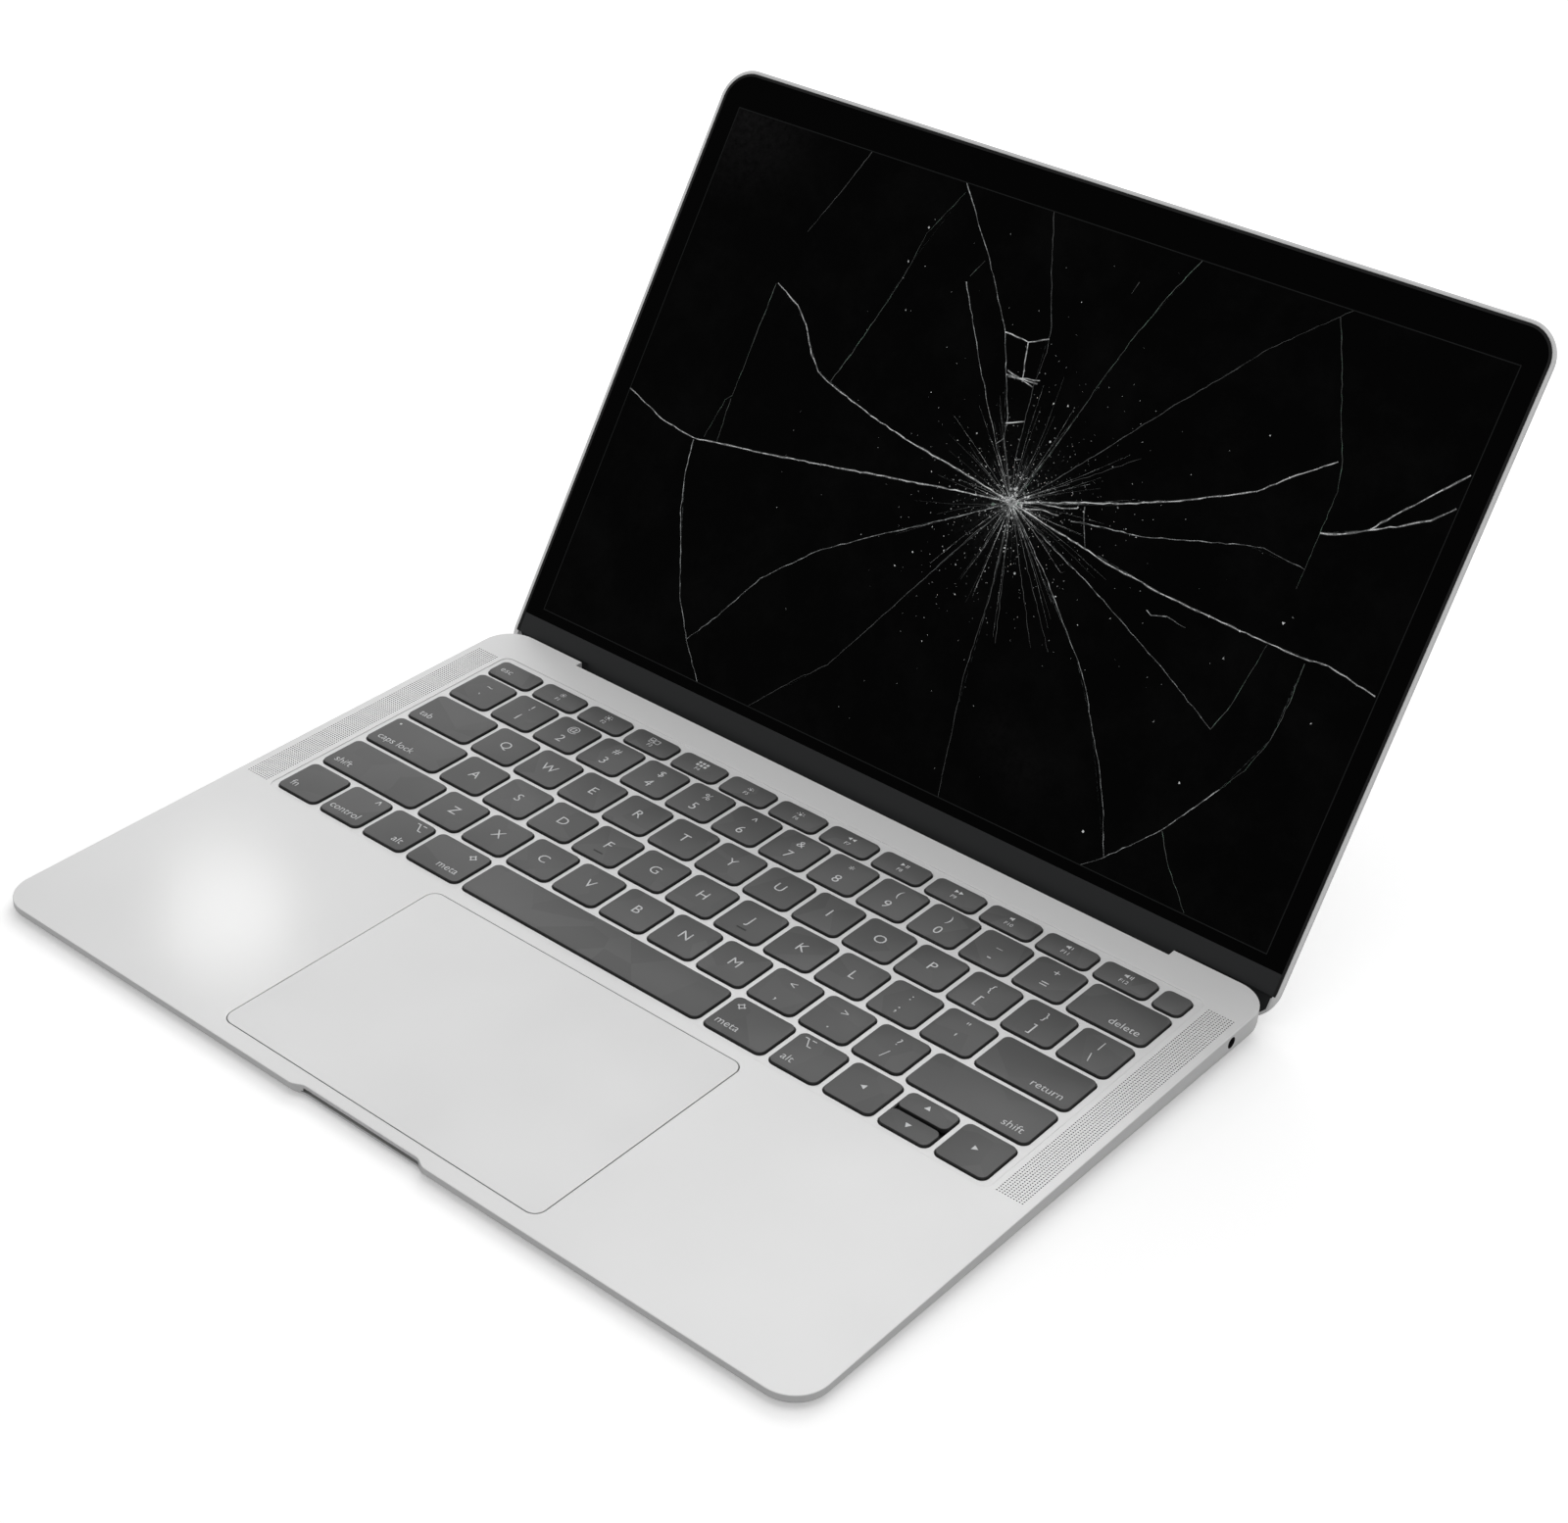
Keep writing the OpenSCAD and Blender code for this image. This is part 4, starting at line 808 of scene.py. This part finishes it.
bodies = sorted({entry[0] for entry in texts} | set(shapes))
textObjects = []
for body, text, x, y, height, align in texts:
    curve = bpy.data.curves.new("print", "FONT")
    curve.body = text
    curve.size = height / legend["capitalShare"]
    curve.align_x = align
    curve.offset = legend["thin"] * height
    curve.resolution_u = 3
    item = bpy.data.objects.new("print", curve)
    bpy.context.scene.collection.objects.link(item)
    textObjects.append((body, item, x, y))
bpy.context.view_layer.update()
depsgraph = bpy.context.evaluated_depsgraph_get()
for body in bodies:
    mesh = bmesh.new()
    for owner, item, x, y in textObjects:
        if owner == body:
            flat = bpy.data.meshes.new_from_object(item.evaluated_get(depsgraph))
            flat.transform(Matrix.Translation((x, y, 0)))
            mesh.from_mesh(flat)
            bpy.data.meshes.remove(flat)
    for shape in shapes.get(body, []):
        addShape(mesh, *shape)
    bmesh.ops.remove_doubles(mesh, verts=mesh.verts, dist=0.002)
    bmesh.ops.recalc_face_normals(mesh, faces=mesh.faces)
    for face in mesh.faces:
        if face.normal.z < 0:
            face.normal_flip()
    raised = bmesh.ops.extrude_face_region(mesh, geom=mesh.faces[:])
    moved = [v for v in raised["geom"] if isinstance(v, bmesh.types.BMVert)]
    bmesh.ops.translate(mesh, verts=moved, vec=(0, 0, legend["ink"]))
    sunk = keyboard["capTop"] - legend["ink"] / 3
    bmesh.ops.translate(mesh, verts=mesh.verts, vec=(0, 0, sunk))
    mesh.transform(deckPlace)
    bmesh.ops.recalc_face_normals(mesh, faces=mesh.faces)
    finishPiece(
        body + "_print", mesh, [finishes["legend"], finishes["capSide"]], body
    )
for _, item, _, _ in textObjects:
    curve = item.data
    bpy.data.objects.remove(item)
    bpy.data.curves.remove(curve)


# Cracks by how they show, as points in millimetres across and up the lid from the hinge axis
impact = lid["impact"]
cracks = {
    "bright": [
        [impact, (-10, 110.7), (-30, 113.2), (-50, 116.7), (-70, 121.7), (-75, 123.7),
         (-80, 128.2), (-86, 136.2), (-92, 141.2), (-102.5, 145.7)],
        [impact, (-15, 104.2), (-50, 98.2), (-80, 93.2), (-98, 90.7), (-111, 88.7),
         (-125, 90.2), (-135, 93.2), (-143.2, 95.9)],
        [impact, (31, 115.2), (45, 119.7), (60, 125.7), (78, 134.2), (84, 137.2),
         (92, 144.2), (104, 153.2)],
        [impact, (25, 105.2), (36, 103.7), (50, 101.2), (70, 99.2), (90, 98.2),
         (107, 97.7), (118, 97.5), (126, 98.2), (142.5, 95.2)],
        [(107.5, 132.5), (112, 133.7), (121, 138.2), (126, 144.2), (142.5, 162.2)],
        [(121, 138.2), (130, 142.7), (137, 146.7), (142.5, 152.2)],
        [(-15.5, 155.7), (-6.5, 155.2), (0, 158.2)],
        [(-6.5, 155.2), (-3.5, 144.2)],
        [(-9.5, 143.7), (2, 144.2)],
        [(-9.5, 145), (1, 142.8)],
        [(-8.5, 143.2), (2.5, 145.4)],
        [(13, 109), (18, 111), (21.5, 111), (26.5, 111.8), (31.4, 113.5)],
        [(15, 107.5), (20, 109.1), (26.4, 109.4)],
        [(-3, 129.7), (3, 132.2)],
    ],
    "dim": [
        [(-111, 88.2), (-109, 76.2), (-105, 64.2), (-100, 54.2), (-93, 39.2), (-84, 26.7),
         (-74, 15.9)],
        [impact, (-10, 95.2), (-30, 83.2), (-44, 74.2), (-50, 70.2), (-66, 55.2),
         (-76, 38.2), (-84, 27.2)],
        [(-49, 195), (-30, 174.2), (-15.5, 155.7), (-9.5, 143.7), (-3, 131.2),
         (-1.5, 125.2), impact],
        [(-35.5, 166.2), (-20, 144.2), (-3.5, 122.7), impact],
        [(31, 109.2), (35, 110.2), (55, 112.7), (75, 118.2), (88, 121.7), (93, 122.7),
         (107.5, 121.2)],
        [impact, (30, 99.2), (45, 93.7), (60, 87.2), (80, 78.2), (100, 68.2)],
        [impact, (30, 91.2), (50, 72.7), (57, 65.2), (64, 55.2), (72, 44.2), (78, 34.2),
         (84.5, 20.7)],
        [(110, 53.2), (104, 44.2), (98, 35.2), (84.5, 20.7), (78.5, 15.9)],
        [(66, 93.2), (68, 92.2), (73, 93.7), (80, 92.7)],
        [(5, 120.2), (7, 121.2)],
        [(33.6, 114.8), (35.5, 110), (39, 103.4)],
        [(-3.5, 122.7), (-1.5, 125.2)],
    ],
    "green": [
        [(-103, 145.2), (-103, 124.2), (-103, 106.2), (-105, 104.2), (-107.5, 90.2)],
        [(-103, 105.2), (-102, 90.2)],
        [(38.5, 195), (33, 183.2), (27, 167.2), (22, 150.2), (18, 134.2), (12, 113.2), impact],
        [(87, 192.2), (93, 180.2), (100, 164.2), (105, 154.2), (107.5, 145.2), (107.5, 115.2)],
        [(100, 68.2), (102.5, 75.2), (106, 97.2)],
        [(98.5, 35.2), (105, 26.2), (115, 16.2)],
        [(-35, 168.2), (-32, 174.2)],
        [(-69, 122.2), (-66, 131.2), (-62, 145.2), (-58.5, 159.2), (-57, 167.2),
         (-56, 176.2), (-48, 192.2)],
        [(119, 96.2), (119.5, 84.2), (118.5, 72.2), (115, 61.2), (110, 53.2)],
    ],
    "faint": [
        [impact, (35, 69.2)],
        [impact, (41, 70.2)],
        [impact, (23, 66.2)],
        [impact, (45, 134.2)],
        [impact, (0, 92.2), (-10, 74.2), (-20, 56.2), (-30, 38.7), (-40, 29.2), (-52, 15.9)],
        [(-15.5, 195), (-9, 179.2), (-1, 162.2), (1, 154.2), (1, 144.2), (3, 132.2),
         (5, 120.2), impact],
        [impact, (20, 118.2), (40, 142.2), (50, 154.2), (60, 165.2), (70, 177.2),
         (80, 186.2), (90, 195)],
        [impact, (15, 79.2), (17, 54.2), (20, 39.2), (25, 15.9)],
        [(21.5, 183.2), (20.5, 179.2)],
        [(-87, 195), (-92, 181.2), (-99, 164.2)],
    ],
}
bright, dim, green, faint, haze = range(5)
crackLook = {
    "seed": 7,
    "widths": {"bright": 0.36, "dim": 0.29, "green": 0.17, "faint": 0.17},
    "step": 2.2,            # a crack is bent a little every so many millimetres
    "wander": 0.2,
    "radials": 110,         # short cracks round the impact
    "radialWidths": (0.05, 0.12),
    "radialReach": (7, 36), # the shortest, and how much longer the longest is
    "radialWander": 0.06,
    "furthest": 85,         # no dust lies further out than this
    # painted glints: bright flakes along a bright crack, where it would catch the light
    "glintBeads": 0.16,          # share of a bright crack's steps that carry a bright flake
    "glintBeadSizes": (0.15, 0.42),
    "hazeWidth": 0.7,       # crushed glass along each bright crack
    "lift": 0.005,
    "layers": (0.015, 0.009, 0.012, 0.006, 0.0),    # bright, dim, green, faint and haze
    "thickness": 0.01,
}
# Loose glass round the impact: how many, how far out they thin away, from where, and their sizes
looseGlass = {
    "core": (150, 1.9, 0, (0.2, 0.75), (bright, bright, bright, green)),
    "dust": (1100, 17, 1, (0.08, 0.2), (bright, bright, dim)),
    "flakes": (130, 16, 3, (0.16, 0.36), (bright,)),
}
# Single chips further out: across, up and size
loneChips = (
    (15, 141.2, 0.5), (14, 129.2, 0.4), (108, 104.7, 0.6), (110, 107.2, 0.4),
    (95, 88.7, 0.5), (128, 81.2, 0.4), (97.5, 50.2, 0.5), (75, 25.2, 0.5),
    (20, 88.2, 0.5), (56, 86.7, 0.4), (-58.5, 166.2, 0.5), (-58, 160.7, 0.4),
    (-56, 178.2, 0.4), (-55, 181.2, 0.35), (-0.5, 83.7, 0.45), (-20.8, 76, 0.4),
    (31.5, 113.8, 0.5), (44, 118.2, 0.4),
)
dice = random.Random(crackLook["seed"])


# The same way in short steps that wander a little, as glass breaks
def refinedPath(points, wander):
    points = [Vector((x, y, 0)) for x, y in points]
    path = [points[0]]
    for start, end in zip(points, points[1:]):
        steps = max(1, round((end - start).length / crackLook["step"]))
        side = Vector((start.y - end.y, end.x - start.x, 0)).normalized()
        for i in range(1, steps + 1):
            drift = dice.uniform(-1, 1) * wander if i < steps else 0
            path.append(start.lerp(end, i / steps) + side * drift)
    return path


def addCrack(mesh, path, width, look, endWidth=0.25):
    vertices = [mesh.verts.new(point) for point in path]
    edges = [mesh.edges.new(pair) for pair in zip(vertices, vertices[1:])]
    grown = bmesh.ops.extrude_edge_only(mesh, edges=edges)["geom"]
    others = [item for item in grown if isinstance(item, bmesh.types.BMVert)]
    last = len(path) - 1
    height = Vector((0, 0, crackLook["layers"][look]))
    for i, (vertex, other) in enumerate(zip(vertices, others)):
        along = path[min(i + 1, last)] - path[max(i - 1, 0)]
        side = Vector((-along.y, along.x, 0)).normalized()
        share = 1 - (1 - endWidth) * i / last
        half = width / 2 * share * dice.uniform(0.45, 1.15)
        vertex.co = path[i] - side * half + height
        other.co = path[i] + side * half + height
    for item in grown:
        if isinstance(item, bmesh.types.BMFace):
            item.material_index = look


def addChip(mesh, x, y, size, look):
    corners = dice.choice((3, 3, 4, 5))
    made = bmesh.ops.create_circle(mesh, cap_ends=True, segments=corners, radius=size)["verts"]
    turn = Matrix.Rotation(dice.uniform(0, 6.28), 4, "Z")
    flatten = Matrix.Diagonal((1, dice.uniform(0.3, 0.9), 1, 1))
    place = Matrix.Translation((x, y, crackLook["layers"][look]))
    bmesh.ops.transform(mesh, verts=made, matrix=place @ turn @ flatten)
    made[0].link_faces[0].material_index = look


def aroundImpact(reach, angle):
    return impact[0] + reach * math.cos(angle), impact[1] + reach * math.sin(angle)


mesh = bmesh.new()
for look, (kind, paths) in enumerate(cracks.items()):
    for points in paths:
        path = refinedPath(points, crackLook["wander"])
        addCrack(mesh, path, crackLook["widths"][kind], look, 0.5 if look == bright else 0.4)
        if look == bright:
            addCrack(mesh, path, crackLook["hazeWidth"], haze, 0.8)
        for point in path:
            if look == bright and dice.random() < crackLook["glintBeads"]:
                addChip(mesh, point.x, point.y, dice.uniform(*crackLook["glintBeadSizes"]), bright)
shortest, longer = crackLook["radialReach"]
for i in range(crackLook["radials"]):
    angle = dice.uniform(0, 2 * math.pi)
    reach = shortest + longer * dice.random() ** 1.8
    bend = dice.uniform(-0.1, 0.1)
    points = [aroundImpact(share * reach, angle + bend * share) for share in (0.02, 0.3, 0.6, 1)]
    look = dice.choice((bright, dim, dim, faint, faint, faint))
    path = refinedPath(points, crackLook["radialWander"])
    addCrack(mesh, path, dice.uniform(*crackLook["radialWidths"]), look, 0.3)
for count, spread, nearest, sizes, looks in looseGlass.values():
    for i in range(count):
        reach = min(dice.expovariate(1 / spread) + nearest, crackLook["furthest"])
        x, y = aroundImpact(reach, dice.uniform(0, 2 * math.pi))
        size = dice.uniform(*sizes)
        addChip(mesh, x, y, size, dice.choice(looks) if len(looks) > 1 else looks[0])
for x, y, size in loneChips:
    addChip(mesh, x, y, size, bright)
bmesh.ops.recalc_face_normals(mesh, faces=mesh.faces)
for face in mesh.faces:
    if face.normal.z < 0:
        face.normal_flip()
bmesh.ops.translate(mesh, verts=mesh.verts, vec=(0, 0, -lid["glassDepth"] + crackLook["lift"]))
bottom = bmesh.ops.extrude_face_region(mesh, geom=mesh.faces[:])
raised = [item for item in bottom["geom"] if isinstance(item, bmesh.types.BMVert)]
bmesh.ops.translate(mesh, verts=raised, vec=(0, 0, crackLook["thickness"]))
bmesh.ops.recalc_face_normals(mesh, faces=mesh.faces)
mesh.transform(lidPlace)
finishPiece(
    "glassCracks", mesh, [crackBright, crackDim, crackGreen, crackFaint, crackHaze], "lid",
)
print("cracks laid")


studio = {
    "floorSize": 30.0,
    "ambient": 0.53,
    "softbox": 4.2,         # above, for the tops
    "backCard": 5.6,        # behind the lid, for the sheen on the right of the deck
    "spot": 0.34,           # small, for the bright patch on the left palm rest
    "floorGlow": 0.3,       # near the object
    "nearReach": 0.4,
    "farGlow": 0.5,         # from here on, where the lamps give less
    "farReach": 1.5,
}

mesh = bmesh.new()
bmesh.ops.create_grid(mesh, x_segments=1, y_segments=1, size=studio["floorSize"])
floorData = bpy.data.meshes.new("floor")
mesh.to_mesh(floorData)
mesh.free()
floor = bpy.data.objects.new("floor", floorData)
bpy.context.scene.collection.objects.link(floor)
paper, paperShader = startMaterial("whitePaper", Roughness=0.9, Specular_IOR_Level=0.0)
paperRays = addNode(paper, "ShaderNodeLightPath")
paperPlace = addNode(paper, "ShaderNodeTexCoord").outputs["Object"]
paperCloud = addNode(paper, "ShaderNodeTexNoise", {"Vector": paperPlace, "Scale": 1 / (300 * mm)})
paperWhite = blendColours(paper, paperCloud, hexColour("#f4f4f4"), hexColour("#f7f7f7"))
# it sends back less light than it shows, so that the sides and the underside keep their shade
paperColour = addNode(
    paper, "ShaderNodeMix",
    {0: paperRays.outputs["Is Diffuse Ray"], 6: paperWhite, 7: hexColour("#8a8a8a")},
    data_type="RGBA",
)
wire(paper, paperColour.outputs[2], paperShader, "Base Color")
away = addNode(paper, "ShaderNodeVectorMath", {0: paperPlace}, operation="LENGTH").outputs["Value"]
paperGlow = addNode(
    paper, "ShaderNodeMapRange",
    {"Value": away, "From Min": studio["nearReach"], "From Max": studio["farReach"],
     "To Min": studio["floorGlow"], "To Max": studio["farGlow"]},
)
paperGlow = addNode(
    paper, "ShaderNodeMath",
    {0: paperRays.outputs["Is Camera Ray"], 1: paperGlow}, operation="MULTIPLY",
)
paperShader.inputs["Emission Color"].default_value = (1, 1, 1, 1)
wire(paper, paperGlow.outputs[0], paperShader, "Emission Strength")
floorData.materials.append(paper)

# The room is white to the camera and in reflections, and dimmer as a light
room = bpy.data.worlds.new("studio")
bpy.context.scene.world = room
room.use_nodes = True
room.node_tree.nodes.clear()
rays = addNode(room, "ShaderNodeLightPath").outputs
seen = rays["Is Camera Ray"]
for kind in ("Is Glossy Ray", "Is Transmission Ray"):
    seen = addNode(room, "ShaderNodeMath", {0: seen, 1: rays[kind]}, operation="MAXIMUM")
ambient = addNode(
    room, "ShaderNodeBackground", {"Color": (1, 1, 1, 1), "Strength": studio["ambient"]}
)
backdrop = addNode(room, "ShaderNodeBackground", {"Color": (1, 1, 1, 1), "Strength": 1.0})
mixed = addNode(room, "ShaderNodeMixShader", {0: seen, 1: ambient, 2: backdrop})
addNode(room, "ShaderNodeOutputWorld", {"Surface": mixed})


def addLamp(name, place, target, size, energy, shape="SQUARE"):
    data = bpy.data.lights.new(name, "AREA")
    data.shape = shape
    data.size = size
    data.energy = energy
    lamp = bpy.data.objects.new(name, data)
    lamp.location = place
    lamp.rotation_euler = (Vector(target) - Vector(place)).to_track_quat("-Z", "Y").to_euler()
    bpy.context.scene.collection.objects.link(lamp)


addLamp("softbox", (0.3, 0.05, 1.6), (0, 0, 0.05), 1.2, studio["softbox"])
addLamp("backCard", (-0.35, 0.98, 1.05), (0.05, -0.05, 0), 0.9, studio["backCard"])
addLamp("spot", (-0.864, 0.505, 0.728), (-0.095, -0.067, 0.006), 0.09, studio["spot"], "DISK")

view = {
    "place": (0.430204, -0.489488, 0.474375),
    "turn": (57.4751, -3.1256, 40.0391),
    "lens": 63.676,
    "shift": (0.01153, 0.02526),
}
cameraData = bpy.data.cameras.new("camera")
cameraData.lens = view["lens"]
cameraData.sensor_width = 36
cameraData.shift_x, cameraData.shift_y = view["shift"]
cameraData.clip_start = 0.01
camera = bpy.data.objects.new("camera", cameraData)
camera.location = view["place"]
camera.rotation_euler = [math.radians(angle) for angle in view["turn"]]
bpy.context.scene.collection.objects.link(camera)
bpy.context.scene.camera = camera
bpy.context.scene.view_settings.view_transform = "Standard"
print("studio set")
